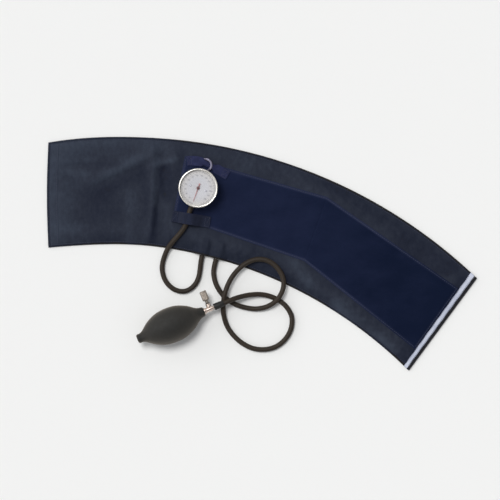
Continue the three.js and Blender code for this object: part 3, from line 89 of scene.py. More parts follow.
class Body(Enum):
    """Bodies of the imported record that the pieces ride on."""

    CUFF_SET = "cuff_set"
    POINTER = "pointer_shaft"
    OUTLET_DISC = "outlet_disc"
    SEAL = "screw_seal"
    SCREW = "screw"


# Shaders


def linear(colour: Colour) -> tuple[float, float, float, float]:
    """A colour of 0 to 255 as linear light: the inverse of the display curve on each channel.

    Args:
        colour: red, green and blue as displayed.

    Returns:
        Red, green, blue and a full alpha.
    """
    share = np.array(colour) / 255
    light = np.where(share <= 0.04045, share / 12.92, ((share + 0.055) / 1.055) ** 2.4)
    return (*light.tolist(), 1.0)


class Socket:
    """An output of a node, on which Python's operators add Math nodes."""

    def __init__(self, graph: "Graph", output: bpy.types.NodeSocket) -> None:
        """Keeps the output and the graph that it belongs to."""
        self.graph = graph
        self.output = output

    def __add__(self, other: Any) -> "Socket":
        """Sum."""
        return self.graph.maths("ADD", self, other)

    def __sub__(self, other: Any) -> "Socket":
        """Difference."""
        return self.graph.maths("SUBTRACT", self, other)

    def __rsub__(self, other: Any) -> "Socket":
        """Difference from a number."""
        return self.graph.maths("SUBTRACT", other, self)

    def __mul__(self, other: Any) -> "Socket":
        """Product."""
        return self.graph.maths("MULTIPLY", self, other)

    __radd__ = __add__
    __rmul__ = __mul__

    def sine(self) -> "Socket":
        """Sine of an angle in radians."""
        return self.graph.maths("SINE", self)

    def clamped(self) -> "Socket":
        """The value held between 0 and 1."""
        return self.graph.maths("MINIMUM", self.graph.maths("MAXIMUM", self, 0.0), 1.0)


class Graph:
    """A node tree, to which every node is added through one method."""

    def __init__(self, tree: bpy.types.NodeTree) -> None:
        """Empties the tree."""
        self.tree = tree
        self.tree.nodes.clear()

    def node(
        self, kind: str, settings: dict[str, Any] | None = None, inputs: dict[Any, Any] | None = None,
        output: int | str = 0,
    ) -> Socket:
        """Adds a node, sets its options first and then its sockets.

        Args:
            kind: the node's type, without its ShaderNode prefix.
            settings: options such as a Math node's operation, or stops for a colour ramp.
            inputs: a value or a Socket for each input, by its name or place.
            output: the output to hand back.

        Returns:
            The chosen output, or the first input of a node that ends the graph.
        """
        made = self.tree.nodes.new(f"ShaderNode{kind}")
        for name, value in (settings or {}).items():
            if name == "stops":
                self.set_stops(made.color_ramp, value)
            else:
                setattr(made, name, value)
        for name, value in (inputs or {}).items():
            if isinstance(value, Socket):
                self.tree.links.new(value.output, made.inputs[name])
            else:
                made.inputs[name].default_value = value
        return Socket(self, made.outputs[output] if made.outputs else made.inputs[0])

    def set_stops(self, ramp: bpy.types.ColorRamp, stops: Any) -> None:
        """Gives a ramp its stops.

        Args:
            ramp: the ramp, which starts with two stops.
            stops: a place from 0 to 1 and a displayed colour for each, in rising order.
        """
        while len(ramp.elements) < len(stops):
            ramp.elements.new(1.0)
        for element, (position, colour) in zip(ramp.elements, stops):
            element.position = position
            element.color = linear(colour)

    def maths(self, operation: str, *values: Any) -> Socket:
        """A Math node on up to three values."""
        return self.node("Math", {"operation": operation}, dict(enumerate(values)))

    def ramp(self, factor: Socket, stops: Any) -> Socket:
        """A colour ramp over a factor."""
        return self.node("ValToRGB", {"stops": stops}, {0: factor})

    def blend(self, factor: Socket, first: Socket, second: Socket) -> Socket:
        """A mix of two colours."""
        return self.node("Mix", {"data_type": "RGBA"}, {0: factor, 6: first, 7: second}, output=2)

    def place(self) -> Socket:
        """The object's own coordinates, in metres."""
        return self.node("TexCoord", output="Object")

    def stretched(self, vector: Socket, scale: Point) -> Socket:
        """A vector multiplied on each axis."""
        return self.node("VectorMath", {"operation": "MULTIPLY"}, {0: vector, 1: scale})

    def cloth_way(self) -> tuple[Socket, Socket]:
        """The two ways of the piece's UV map, in metres along it and across it."""
        along, across, _ = self.parts(self.node("TexCoord", output="UV"))
        return along, across

    def parts(self, vector: Socket) -> tuple[Socket, ...]:
        """A vector's three numbers."""
        outputs = self.node("SeparateXYZ", inputs={0: vector}).output.node.outputs
        return tuple(Socket(self, output) for output in outputs)

    def ribs(self, way: Socket, pitch: float) -> Socket:
        """A sine along a way, with one wave to a pitch in millimetres."""
        return (way * (2 * math.pi / (pitch * MM))).sine()

    def noise(self, vector: Socket, scale: float, detail: float = 2.0, rough: float = 0.5) -> Socket:
        """Cloudy noise from 0 to 1, with that many cells a metre."""
        return self.node("TexNoise", inputs={0: vector, "Scale": scale, "Detail": detail, "Roughness": rough})

    def attribute(self, name: str) -> Socket:
        """A number that the piece's mesh carries at each point."""
        return self.node("Attribute", {"attribute_name": name}, output="Fac")

    def bump(self, height: Socket, strength: float, depth: float) -> Socket:
        """A bumped normal, with the relief's depth in millimetres."""
        return self.node("Bump", inputs={"Strength": strength, "Distance": depth * MM, "Height": height})

    def principled(self, inputs: dict[str, Any]) -> Socket:
        """A Principled shader."""
        return self.node("BsdfPrincipled", inputs=inputs)

    def output(self, shader: Socket) -> None:
        """Sends a shader to the material's output."""
        self.node("OutputMaterial", inputs={"Surface": shader})


# Finishes


CLOTH_SHEEN = {"Sheen Weight": 0.03, "Sheen Roughness": 0.4, "Specular IOR Level": 0.15}


@dataclass(frozen=True)
class Finish:
    """A finish: its name and the record's slot that it stands for."""

    name: str
    slot: Slot

    def material(self) -> bpy.types.Material:
        """The Blender material, made at its first use.

        Returns:
            The material.
        """
        made = bpy.data.materials.get(self.name)
        if made is None:
            made = bpy.data.materials.new(self.name)
            made.use_nodes = True
            graph = Graph(made.node_tree)
            graph.output(self.shader(graph))
        return made

    def shader(self, graph: Graph) -> Socket:
        """The finish's shader."""
        raise NotImplementedError


@dataclass(frozen=True)
class WovenCloth(Finish):
    """Plain-woven cloth.

    Its tone is 0 at turned edges, 0.22 in valleys, where shade is painted, 0.5 where it lies flat and 1 on
    raised folds, where light is painted.
    """

    edge: Colour
    valley: Colour
    body: Colour
    raised: Colour
    pitch: float = 0.9
    relief: float = 0.12
    roughness: float = 0.72
    mottle: float = 0.3

    def shader(self, graph: Graph) -> Socket:
        """Weave: the product of a sine along each way. The tone, clouded by noise, picks the colour.

        Args:
            graph: the material's nodes.

        Returns:
            The shader.
        """
        along, across = graph.cloth_way()
        weave = graph.ribs(along, self.pitch) * graph.ribs(across, self.pitch)
        where = graph.place()
        cloudy = graph.noise(where, 42.0, 4.0, 0.6)
        crinkle = graph.noise(graph.stretched(where, (1.0, 0.6, 1.0)), 210.0, 3.0, 0.6)
        slub = graph.noise(graph.stretched(where, (1.0, 6.0, 1.0)), 260.0)
        rubbed = (cloudy - 0.5) * self.mottle + (crinkle - 0.5) * (self.mottle * 1.3)
        tone = graph.attribute("tone") + rubbed + (slub - 0.5) * 0.12 + weave * 0.05
        # Painted shade and light: the valley colour darkens creases and the raised colour lightens the ridges
        # of folds.
        tints = [(0.0, self.edge), (0.22, self.valley), (0.5, self.body), (1.0, self.raised)]
        height = weave * 0.6 + slub * 0.5 + crinkle * 1.5
        return graph.principled({
            "Base Color": graph.ramp(tone, tints), "Roughness": (cloudy - 0.5) * 0.16 + self.roughness,
            "Normal": graph.bump(height, 0.45, self.relief), **CLOTH_SHEEN,
        })


@dataclass(frozen=True)
class LoopPile(Finish):
    """Napped loop cloth, with light painted on it that brightens it towards the gauge. Its tone is 0 on the
    pile and 1 on the woven selvedge.
    """

    low: Colour
    high: Colour
    selvedge: Colour
    rib_pitch: float = 0.8
    middle: float = 0.5
    fade: float = 2.2

    def shader(self, graph: Graph) -> Socket:
        """Tufts: fine noise over broad brushed clouds. The selvedge has cross ribs along its own way.

        Args:
            graph: the material's nodes.

        Returns:
            The shader.
        """
        along, across = graph.cloth_way()
        where = graph.place()
        tuft = graph.noise(where, 1500.0, 3.0, 0.7)
        brushed = graph.noise(graph.stretched(where, (1.0, 1.7, 1.0)), 26.0, 4.0, 0.62)
        rib = graph.ribs(along, self.rib_pitch) * 0.5 + graph.ribs(across, self.rib_pitch) * 0.2
        tone = graph.attribute("tone").clamped()
        # Painted light: the pile is lighter towards the gauge end and darker towards the far end, along X.
        painted_light = self.middle - graph.parts(where)[0] * self.fade
        lit = ((brushed - 0.5) * 0.9 + (tuft - 0.5) * 0.7 + painted_light).clamped()
        nap = graph.ramp(lit, [(0.0, self.low), (1.0, self.high)])
        woven = graph.ramp(rib * 0.3 + 0.5, [(0.0, self.high), (1.0, self.selvedge)])
        height = tuft * (1.0 - tone) + rib * tone * 0.4
        return graph.principled({
            "Base Color": graph.blend(tone, nap, woven), "Roughness": 0.95 - tone * 0.2,
            "Normal": graph.bump(height, 0.8, 0.5), **CLOTH_SHEEN,
            "Sheen Roughness": 0.5, "Specular IOR Level": 0.1,
        })


@dataclass(frozen=True)
class HookTape(Finish):
    """Hook tape: rows of stiff hooks on a woven ground."""

    ground: Colour
    hooks: Colour
    spacing: float = 1.4

    def shader(self, graph: Graph) -> Socket:
        """Hooks: a raised dot where two sines, one along each way, are both high.

        Args:
            graph: the material's nodes.

        Returns:
            The shader.
        """
        along, across = graph.cloth_way()
        dots = (graph.ribs(along, self.spacing) * graph.ribs(across, self.spacing) * 2.0).clamped()
        wear = graph.noise(graph.place(), 60.0, 3.0)
        level = (dots * 0.8 + (wear - 0.5) * 0.3).clamped()
        colour = graph.ramp(level, [(0.0, self.ground), (1.0, self.hooks)])
        return graph.principled({
            "Base Color": colour, "Roughness": 0.8 - dots * 0.25, "Normal": graph.bump(dots, 0.9, 0.6),
        })


@dataclass(frozen=True)
class Webbing(Finish):
    """Woven tape with ribs across it."""

    groove: Colour
    body: Colour
    crest: Colour
    pitch: float = 1.1
    yarn_pitch: float = 0.7

    def shader(self, graph: Graph) -> Socket:
        """Ribs: a sine along the tape, broken up by a finer sine across it. Crests are paler.

        Args:
            graph: the material's nodes.

        Returns:
            The shader.
        """
        along, across = graph.cloth_way()
        rib, yarn = graph.ribs(along, self.pitch), graph.ribs(across, self.yarn_pitch)
        wear = graph.noise(graph.place(), 140.0, 3.0)
        level = (rib * 0.18 + yarn * 0.1 + (wear - 0.5) * 0.7 + 0.5).clamped()
        colour = graph.ramp(level, [(0.0, self.groove), (0.5, self.body), (1.0, self.crest)])
        return graph.principled({
            "Base Color": colour, "Roughness": wear * 0.2 + 0.65,
            "Normal": graph.bump(rib + yarn * 0.5, 0.7, 0.18), **CLOTH_SHEEN,
        })


@dataclass(frozen=True)
class SewingThread(Finish):
    """Twisted sewing thread. Its twist turns by that many radians a metre along and across a stitch."""

    body: Colour
    crest: Colour
    turns: Pair = (9000.0, 5000.0)

    def shader(self, graph: Graph) -> Socket:
        """Twist: a slanted sine over the stitch's two ways.

        Args:
            graph: the material's nodes.

        Returns:
            The shader.
        """
        along, across = graph.cloth_way()
        twist = (along * self.turns[0] + across * self.turns[1]).sine() * 0.5 + 0.5
        colour = graph.ramp(twist, [(0.0, self.body), (1.0, self.crest)])
        return graph.principled({
            "Base Color": colour, "Roughness": 0.7 - twist * 0.1, "Normal": graph.bump(twist, 0.5, 0.06),
        })


@dataclass(frozen=True)
class Rubber(Finish):
    """Moulded rubber with a soft gloss, faint bloom and handling marks."""

    body: Colour
    bloom: Colour
    gloss: float
    shine: float
    grain: float = 1400.0
    dust: float = 0.0
    dust_tint: Colour = (255, 240, 220)

    def shader(self, graph: Graph) -> Socket:
        """Bloom: broad noise. Marks: finer noise that dulls the gloss. Skin: very fine noise as relief.

        Args:
            graph: the material's nodes.

        Returns:
            The shader.
        """
        where = graph.place()
        bloom = graph.noise(where, 34.0, 4.0, 0.6)
        marks = graph.noise(graph.stretched(where, (1.0, 1.0, 2.5)), 180.0, 3.0, 0.65)
        skin = graph.noise(where, self.grain, 2.0)
        level = ((bloom - 0.5) * 1.4 + (marks - 0.5) * 0.6 + 0.4).clamped()
        return graph.principled({
            "Base Color": graph.ramp(level, [(0.0, self.body), (1.0, self.bloom)]),
            "Roughness": (marks - 0.5) * 0.22 + self.gloss, "Normal": graph.bump(skin, 0.25, 0.08),
            "Specular IOR Level": self.shine, "Sheen Weight": self.dust, "Sheen Roughness": 0.5,
            "Sheen Tint": linear(self.dust_tint),
        })


@dataclass(frozen=True)
class Metal(Finish):
    """Plated or turned metal with fine tool marks and a little tarnish."""

    bright: Colour
    dull: Colour
    roughness: float
    marks: float = 700.0

    def shader(self, graph: Graph) -> Socket:
        """Tarnish: broad noise between two colours. Tool marks: noise drawn out along Z, as relief.

        Args:
            graph: the material's nodes.

        Returns:
            The shader.
        """
        where = graph.place()
        tarnish = graph.noise(where, 90.0, 4.0, 0.6)
        tool = graph.noise(graph.stretched(where, (1.0, 1.0, 5.0)), self.marks, 2.0)
        return graph.principled({
            "Base Color": graph.ramp(tarnish, [(0.25, self.bright), (0.8, self.dull)]),
            "Metallic": 1.0, "Roughness": tool * 0.12 + tarnish * 0.1 + (self.roughness - 0.1),
            "Normal": graph.bump(tool, 0.15, 0.03),
        })


@dataclass(frozen=True)
class Paint(Finish):
    """Printed or enamelled paint, tinted by the distance from a point, up to a reach in metres."""

    tints: tuple[tuple[float, Colour], ...]
    centre: Point
    reach: float
    roughness: float = 0.45

    def shader(self, graph: Graph) -> Socket:
        """Tint: the distance from the centre over the reach, clouded by fine noise.

        Args:
            graph: the material's nodes.

        Returns:
            The shader.
        """
        where = graph.place()
        away = graph.node("VectorMath", {"operation": "DISTANCE"}, {0: where, 1: self.centre}, output="Value")
        speck = graph.noise(where, 700.0, 3.0)
        level = (away * (1.0 / self.reach) + (speck - 0.5) * 0.12).clamped()
        return graph.principled({
            "Base Color": graph.ramp(level, self.tints),
            "Roughness": (speck - 0.5) * 0.15 + self.roughness, "Normal": graph.bump(speck, 0.1, 0.03),
        })


@dataclass(frozen=True)
class ClearGlass(Finish):
    """A clear lens that lets the lamps through to the dial."""

    tint: Colour

    def shader(self, graph: Graph) -> Socket:
        """Glass for what looks at it, and plain transparency for light going to the dial or coming off it.

        Args:
            graph: the material's nodes.

        Returns:
            The shader.
        """
        smears = graph.noise(graph.place(), 55.0, 3.0)
        glass = graph.principled({
            "Base Color": linear(self.tint), "Transmission Weight": 1.0, "IOR": 1.2,
            "Roughness": (smears * 0.08 - 0.02).clamped(),
        })
        clear = graph.node("BsdfTransparent")
        for kind in ("Reflection", "Shadow"):
            ray = graph.node("LightPath", output=f"Is {kind} Ray")
            glass = graph.node("MixShader", inputs={0: ray, 1: glass, 2: clear})
        return glass


# Painted shade and light: in each cloth below, the second colour is the shade painted in valleys and the
# fourth the light painted on raised folds.
NYLON = WovenCloth("navy nylon", Slot.NYLON, (30, 28, 27), (20, 26, 42), (36, 41, 54), (58, 66, 80))
LINING = WovenCloth("lining nylon", Slot.NYLON, (28, 28, 31), (24, 27, 40), (38, 41, 55), (54, 58, 74))
BINDING = WovenCloth(
    "end binding", Slot.NYLON, (22, 21, 22), (24, 24, 27), (30, 30, 34), (44, 44, 50), pitch=0.7)
STRIPE_TAPE = WovenCloth(
    "index tape", Slot.WHITE_TAPE, (120, 126, 145), (165, 171, 190), (196, 201, 217), (216, 220, 232),
    pitch=0.7)
PILE = LoopPile("loop pile", Slot.LOOP_PILE, (10, 20, 43), (31, 38, 64), (46, 52, 78))
HOOK_PANEL = HookTape("hook tape", Slot.HOOK_TAPE, (20, 22, 32), (48, 52, 66))
UPPER_WEBBING = Webbing("strap webbing", Slot.WEBBING, (24, 27, 50), (38, 42, 74), (62, 67, 104))
LOWER_WEBBING = Webbing("tube strap webbing", Slot.WEBBING, (20, 24, 38), (30, 35, 53), (48, 54, 76))
THREAD = SewingThread("sewing thread", Slot.NYLON, (34, 38, 56), (54, 59, 80))
BULB_RUBBER = Rubber(
    "bulb rubber", Slot.BLACK_RUBBER, (7, 9, 9), (20, 18, 14), gloss=0.74, shine=0.48, dust=0.26)
SEAL_RUBBER = Rubber("seal rubber", Slot.BLACK_RUBBER, (24, 24, 24), (38, 38, 37), gloss=0.5, shine=0.3)
TUBE_RUBBER = Rubber(
    "tube rubber", Slot.TUBE_RUBBER, (42, 36, 30), (55, 47, 39), gloss=0.52, grain=2200.0, shine=0.18)
CHROME = Metal("plated metal", Slot.PLATED_METAL, (236, 233, 227), (214, 210, 204), roughness=0.3)
HOOK_METAL = Metal("hook plating", Slot.PLATED_METAL, (114, 112, 128), (92, 90, 106), roughness=0.5)
DIAL_SCREW_METAL = Metal("dial screw plating", Slot.STEEL, (190, 190, 196), (176, 176, 182), roughness=0.6)
NICKEL = Metal("nickel plating", Slot.NICKEL, (224, 208, 198), (200, 183, 173), roughness=0.32)
KNURLED = Metal("knurled steel", Slot.KNURLED_STEEL, (172, 163, 154), (140, 131, 122), roughness=0.38)
STEEL = Metal("steel", Slot.STEEL, (176, 172, 168), (146, 142, 138), roughness=0.35)
BRASS = Metal("brass", Slot.BRASS, (196, 164, 98), (160, 130, 74), roughness=0.32)
LENS_GLASS = ClearGlass("clear lens", Slot.CLEAR_LENS, (250, 250, 252))


# Meshes


@dataclass
class Grid:
    """Points on rows and columns, any number of such grids at once, each joined into four-sided faces.

    Its points end in rows, columns and 3, and its ways, the lengths along and across the piece, in rows,
    columns and 2. The tone, which cloth finishes read, is one number or an array.
    """

    points: Array
    ways: Array | None = None
    tone: Array | float = 0.5

    def faces(self, first: int) -> Array:
        """Corner numbers of the faces, counted from first: each cell of the grid is one face.

        Args:
            first: the number of the first point.

        Returns:
            Rows of four numbers.
        """
        shape = self.points.shape[:-1]
        index = first + np.arange(math.prod(shape)).reshape(shape)
        corners = (index[..., :-1, :-1], index[..., 1:, :-1], index[..., 1:, 1:], index[..., :-1, 1:])
        return np.stack(corners, axis=-1).reshape(-1, 4)

    def laid_out(self) -> Array:
        """The ways, or plain X and Y where none are given."""
        ways = self.points[..., :2] if self.ways is None else self.ways
        return np.broadcast_to(ways, (*self.points.shape[:-1], 2)).reshape(-1, 2)

    def tones(self) -> Array:
        """The tone at every point."""
        return np.broadcast_to(self.tone, self.points.shape[:-1]).reshape(-1)


@dataclass
class Piece:
    """A named piece made of grids, with its finish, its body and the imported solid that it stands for."""

    name: str
    grids: list[Grid]
    finish: Finish
    body: Body = Body.CUFF_SET
    replaces: str = ""
    crease: float = 40.0

    def build(self) -> Part:
        """Makes the mesh object, welds its seams and turns its faces outwards.

        Returns:
            The object, which rides on its body.
        """
        firsts = np.cumsum([0, *(grid.points.size // 3 for grid in self.grids)])
        points = np.concatenate([grid.points.reshape(-1, 3) for grid in self.grids]) * MM
        faces = np.concatenate([grid.faces(first) for grid, first in zip(self.grids, firsts)])
        ways = np.concatenate([grid.laid_out() for grid in self.grids]) * MM
        tones = np.concatenate([grid.tones() for grid in self.grids])
        mesh = bpy.data.meshes.new(self.name)
        mesh.vertices.add(len(points))
        mesh.vertices.foreach_set("co", points.astype(np.float32).ravel())
        mesh.loops.add(faces.size)
        mesh.loops.foreach_set("vertex_index", faces.astype(np.int32).ravel())
        mesh.polygons.add(len(faces))
        mesh.polygons.foreach_set("loop_start", np.arange(0, faces.size, 4, dtype=np.int32))
        mesh.update(calc_edges=True)
        mesh.uv_layers.new(name="ways").data.foreach_set("uv", ways[faces.ravel()].astype(np.float32).ravel())
        mesh.attributes.new("tone", "FLOAT", "POINT").data.foreach_set("value", tones.astype(np.float32))
        return self.finished(mesh)

    def finished(self, mesh: bpy.types.Mesh) -> Part:
        """Welds a mesh, turns it outwards and makes it a piece of the object.

        Args:
            mesh: the piece's mesh, in metres.

        Returns:
            The object, which rides on its body.
        """
        working = bmesh.new()
        working.from_mesh(mesh)
        bmesh.ops.remove_doubles(working, verts=working.verts, dist=WELD)
        bmesh.ops.dissolve_degenerate(working, edges=working.edges, dist=WELD / 10)
        bmesh.ops.recalc_face_normals(working, faces=working.faces)
        working.to_mesh(mesh)
        working.free()
        mesh.polygons.foreach_set("use_smooth", np.ones(len(mesh.polygons), dtype=bool))
        mesh.set_sharp_from_angle(angle=math.radians(self.crease))
        mesh.materials.append(self.finish.material())
        made = bpy.data.objects.new(self.name, mesh)
        bpy.context.scene.collection.objects.link(made)
        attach(made, self.body.value)
        if self.replaces:
            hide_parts(self.replaces)
        logger.info("%s: %d faces", self.name, len(mesh.polygons))
        return made


def smoothstep(x: Array, low: float, high: float) -> Array:
    """A smooth step from 0 at low to 1 at high: 3t squared less 2t cubed."""
    t = np.clip((x - low) / (high - low), 0, 1)
    return t * t * (3 - 2 * t)


def round_turn(sides: int) -> Array:
    """A row of angles all the way round, with the first place repeated at the end."""
    return np.linspace(0, 2 * np.pi, sides + 1)[None, :]


def paired(s: Any, v: Any) -> tuple[Array, ...]:
    """Stations and shares as arrays of one shape."""
    return tuple(np.broadcast_arrays(np.asarray(s, float), np.asarray(v, float)))


def unit(vectors: Array) -> Array:
    """Vectors at length 1."""
    return vectors / np.maximum(np.linalg.norm(vectors, axis=-1, keepdims=True), 1e-12)


def runs(line: Array) -> Array:
    """The length travelled to each point of a line."""
    return np.concatenate([[0.0], np.cumsum(np.linalg.norm(np.diff(line, axis=0), axis=1))])


def read_along(places: Array, run: Array, values: Array) -> Array:
    """Rows of three values, known at lengths of a run and read at other places, straight between them."""
    return np.column_stack([np.interp(places, run, values[:, k]) for k in range(3)])


def ways_of(along: Array, across: Array) -> Array:
    """The lengths along and across, paired at every point of a grid."""
    return np.stack(np.broadcast_arrays(along, across), axis=-1)


def raised(point: Array, height: Array) -> Array:
    """Places of x and y with a height each."""
    return np.concatenate([point, height[..., None]], axis=-1)


def least(*distances: Array) -> Array:
    """The least of several distances at every point of a grid."""
    return np.minimum.reduce(np.broadcast_arrays(*distances))


def through(route: Any, step: float) -> Array:
    """A smooth curve through route points: centripetal Catmull-Rom, cut into nearly even steps.

    Each span is a cubic whose end slopes come from its neighbours, weighted by the root of their lengths.

    Args:
        route: the points, as rows of x, y, z.
        step: the distance between the points handed back.

    Returns:
        Points along the curve, from the first route point to the last.
    """
    route = np.array(route, float)
    ends = np.vstack([2 * route[0] - route[1], route, 2 * route[-1] - route[-2]])
    before, start, end, after = ends[:-3], ends[1:-2], ends[2:-1], ends[3:]
    lead, span, trail = (
        np.sqrt(np.linalg.norm(to - since, axis=1))[:, None]
        for since, to in ((before, start), (start, end), (end, after)))
    leave = ((start - before) / lead - (end - before) / (lead + span) + (end - start) / span) * span
    arrive = ((end - start) / span - (after - start) / (span + trail) + (after - end) / trail) * span
    t = np.linspace(0, 1, CUTS_A_SPAN, endpoint=False)[None, :, None]
    start, end, leave, arrive = (each[:, None, :] for each in (start, end, leave, arrive))
    square = -3 * start + 3 * end - 2 * leave - arrive
    cube = 2 * start - 2 * end + leave + arrive
    dense = np.vstack([(start + leave * t + square * t**2 + cube * t**3).reshape(-1, 3), route[-1:]])
    run = runs(dense)
    return read_along(np.linspace(0, run[-1], max(2, round(run[-1] / step) + 1)), run, dense)


@dataclass
class Path:
    """A line in space with level side vectors and the vectors square to both."""

    line: Array

    def __post_init__(self) -> None:
        """Works out the run, the direction, the side and the up vector at each point."""
        self.run = runs(self.line)
        self.along = unit(np.gradient(self.line, self.run, axis=0))
        level = np.column_stack([-self.along[:, 1], self.along[:, 0], np.zeros(len(self.line))])
        self.side = unit(level)
        self.up = np.cross(self.along, self.side)

    @property
    def length(self) -> float:
        """The whole length."""
        return float(self.run[-1])

    def at(self, places: Array) -> "Path":
        """The same path read at other lengths along it, which may repeat.

        Args:
            places: lengths along it.

        Returns:
            The path, whose run is these lengths.
        """
        other = Path.__new__(Path)
        other.run = np.array(places, float)
        other.line, other.along, other.side, other.up = (
            read_along(places, self.run, values) for values in (self.line, self.along, self.side, self.up))
        return other

    def carried(self, across: Array, height: Array, tone: Array | float = 0.5) -> Grid:
        """A profile carried along the path: line plus side times across plus up times height.

        Args:
            across: offsets to the side, a row for each point of the line.
            height: offsets upwards, likewise.
            tone: the cloth tone.

        Returns:
            The grid, laid out by its run and the distance round its profile.
        """
        aside, upwards = self.side[:, None] * across[..., None], self.up[:, None] * height[..., None]
        steps = np.hypot(np.diff(across, axis=1), np.diff(height, axis=1))
        girth = np.hstack([np.zeros((len(across), 1)), np.cumsum(steps, axis=1)])
        return Grid(self.line[:, None] + aside + upwards, ways_of(self.run[:, None], girth), tone)


def squared_off(wave: Array, square: float) -> Array:
    """A wave with its size raised to the power square and its sign kept."""
    return np.sign(wave) * np.abs(wave) ** square


def bar(
    path: Path, width: Array | float, thickness: Array | float, square: float = 0.3, sides: int = 32,
    end: float = 0.5, tone: float = 0.5,
) -> Grid:
    """A closed bar along a path, resting on it: a superellipse section, narrowed to a point at both ends.

    The section is half the width times the cosine to the power square, and the same of the sine for height.

    Args:
        path: the line under the bar's middle.
        width: the width, for all or for each point of the path.
        thickness: the height, likewise.
        square: 1 for an ellipse, towards 0 for a rectangle.
        sides: points round the section.
        end: the length of the rounding at both ends.
        tone: the cloth tone.

    Returns:
        The closed grid.
    """
    corner = np.array([0.0, 0.0, 0.1, 0.35, 1.0]) * end
    fill = np.array([0.0, 0.55, 0.8, 0.94, 1.0])
    inner = path.run[(path.run > end) & (path.run < path.length - end)]
    places = np.concatenate([corner, inner, path.length - corner[::-1]])
    scale = np.concatenate([fill, np.ones(len(inner)), fill[::-1]])[:, None]
    half, rise = (
        np.interp(places, path.run, np.broadcast_to(each, len(path.run)))[:, None] / 2
        for each in (width, thickness))
    angle = round_turn(sides)
    across = half * scale * squared_off(np.cos(angle), square)
    return path.at(places).carried(across, rise + rise * scale * squared_off(np.sin(angle), square), tone)


def hose(path: Path, radius: float, bore: float, sides: int = 28) -> Grid:
    """A tube along a path with rounded lips and a short open bore at each end: rings of cosine and sine.

    Args:
        path: the tube's middle.
        radius: its outer radius.
        bore: its inner radius.
        sides: points round it.

    Returns:
        The closed grid.
    """
    lip = np.array([2.5, 2.5, 0.0, 0.0, 0.15, 0.5])
    rings = np.array([0.0, bore, bore, radius - 0.5, radius - 0.15, radius])
    inner = path.run[(path.run > 1) & (path.run < path.length - 1)]
    places = np.concatenate([lip, inner, path.length - lip[::-1]])
    size = np.concatenate([rings, np.full(len(inner), radius), rings[::-1]])[:, None]
    angle = round_turn(sides)
    return path.at(places).carried(size * np.cos(angle), size * np.sin(angle))


def spread(vectors: Array, amounts: Array) -> Array:
    """Every vector times every amount, as bars by rings by points."""
    return vectors[:, None, None, :] * amounts[None, :, :, None]


def small_bars(
    centres: Array, along: Array, up: Array, length: float, width: float, height: float, arch: float = 0.0,
) -> Grid:
    """Many short closed bars at once, such as stitches or printed lines.

    Each is six rings of six points: its half width follows a rounded end, and its middle rises by the arch.

    Args:
        centres: the middle of each bar's underside.
        along: its direction.
        up: the direction it stands proud in.
        length: its length.
        width: its width.
        height: how far it stands proud.
        arch: how much higher its middle is than its ends.

    Returns:
        One batch of grids.
    """
    along = unit(along)
    side = unit(np.cross(up, along))
    up = np.cross(along, side)
    place = np.array([-0.5, -0.46, -0.25, 0.25, 0.46, 0.5])[:, None] * length
    fill = np.array([0.0, 0.7, 1.0, 1.0, 0.7, 0.0])[:, None]
    lift = (1 - (2 * place / length) ** 2) * arch
    angle = round_turn(6)
    across = fill * np.cos(angle) * width / 2
    rise = lift + height / 2 + fill * np.sin(angle) * height / 2
    place = np.broadcast_to(place, across.shape)
    points = centres[:, None, None, :] + spread(along, place) + spread(side, across) + spread(up, rise)
    return Grid(points, np.broadcast_to(ways_of(place, across), (*points.shape[:-1], 2)))


def seam(line: Array, pitch: float = 3.2, length: float = 2.4, width: float = 0.55) -> Grid:
    """A row of stitches along a line on the cloth: one every pitch, arched out of it between its holes.

    Args:
        line: points on the cloth.
        pitch: the distance from stitch to stitch.
        length: a stitch's length.
        width: a stitch's width.

    Returns:
        The stitches, a little sunk into the cloth.
    """
    run = runs(line)
    places = np.arange(pitch / 2, run[-1], pitch)
    back, centres, ahead = (read_along(places + shift, run, line) for shift in (-length / 2, 0, length / 2))
    up = np.broadcast_to([0.0, 0.0, 1.0], centres.shape)
    return small_bars(centres - [0, 0, 0.1], ahead - back, up, length, width, height=0.4, arch=0.12)


def rounded(profile: Any, radius: float, closed: bool = False) -> Array:
    """A profile with its corners rounded: each corner becomes a quadratic curve between two cut points.

    Args:
        profile: corner points as rows of radius and height.
        radius: the most that is cut from each side of a corner.
        closed: whether the last corner joins the first.

    Returns:
        The finer profile, closed with its first point repeated where it is closed.
    """
    corners = np.array(profile, float)
    before, after = np.roll(corners, 1, axis=0), np.roll(corners, -1, axis=0)
    back, ahead = before - corners, after - corners
    before_far, after_far = (
        np.maximum(np.linalg.norm(way, axis=1, keepdims=True), 1e-9) for way in (back, ahead))
    cut = np.minimum(radius, 0.45 * np.minimum(before_far, after_far))
    first, last = corners + back / before_far * cut, corners + ahead / after_far * cut
    if not closed:
        first[0], last[0], first[-1], last[-1] = corners[0], corners[0], corners[-1], corners[-1]
    t = np.linspace(0, 1, 6)[None, :, None]
    curve = first[:, None] * (1 - t) ** 2 + 2 * corners[:, None] * t * (1 - t) + last[:, None] * t**2
    line = curve.reshape(-1, 2)
    return np.vstack([line, line[:1]]) if closed else line


def ring_section(inner: float, outer: float, low: float, high: float, radius: float) -> Array:
    """The closed section of a flat ring with rounded corners."""
    return rounded([(inner, low), (outer, low), (outer, high), (inner, high)], radius, closed=True)


def lathe(profile: Array, sides: int) -> Grid:
    """A profile of radius and height turned about Z: radius times cosine and sine, and its height.

    Args:
        profile: rows of radius and height.
        sides: points round it.

    Returns:
        The grid.
    """
    angle = round_turn(sides)
    radius, height = profile[:, 0, None], profile[:, 1, None]
    points = np.stack([radius * np.cos(angle), radius * np.sin(angle), height + 0 * angle], axis=-1)
    return Grid(points, ways_of(runs(profile)[:, None], 10 * angle))


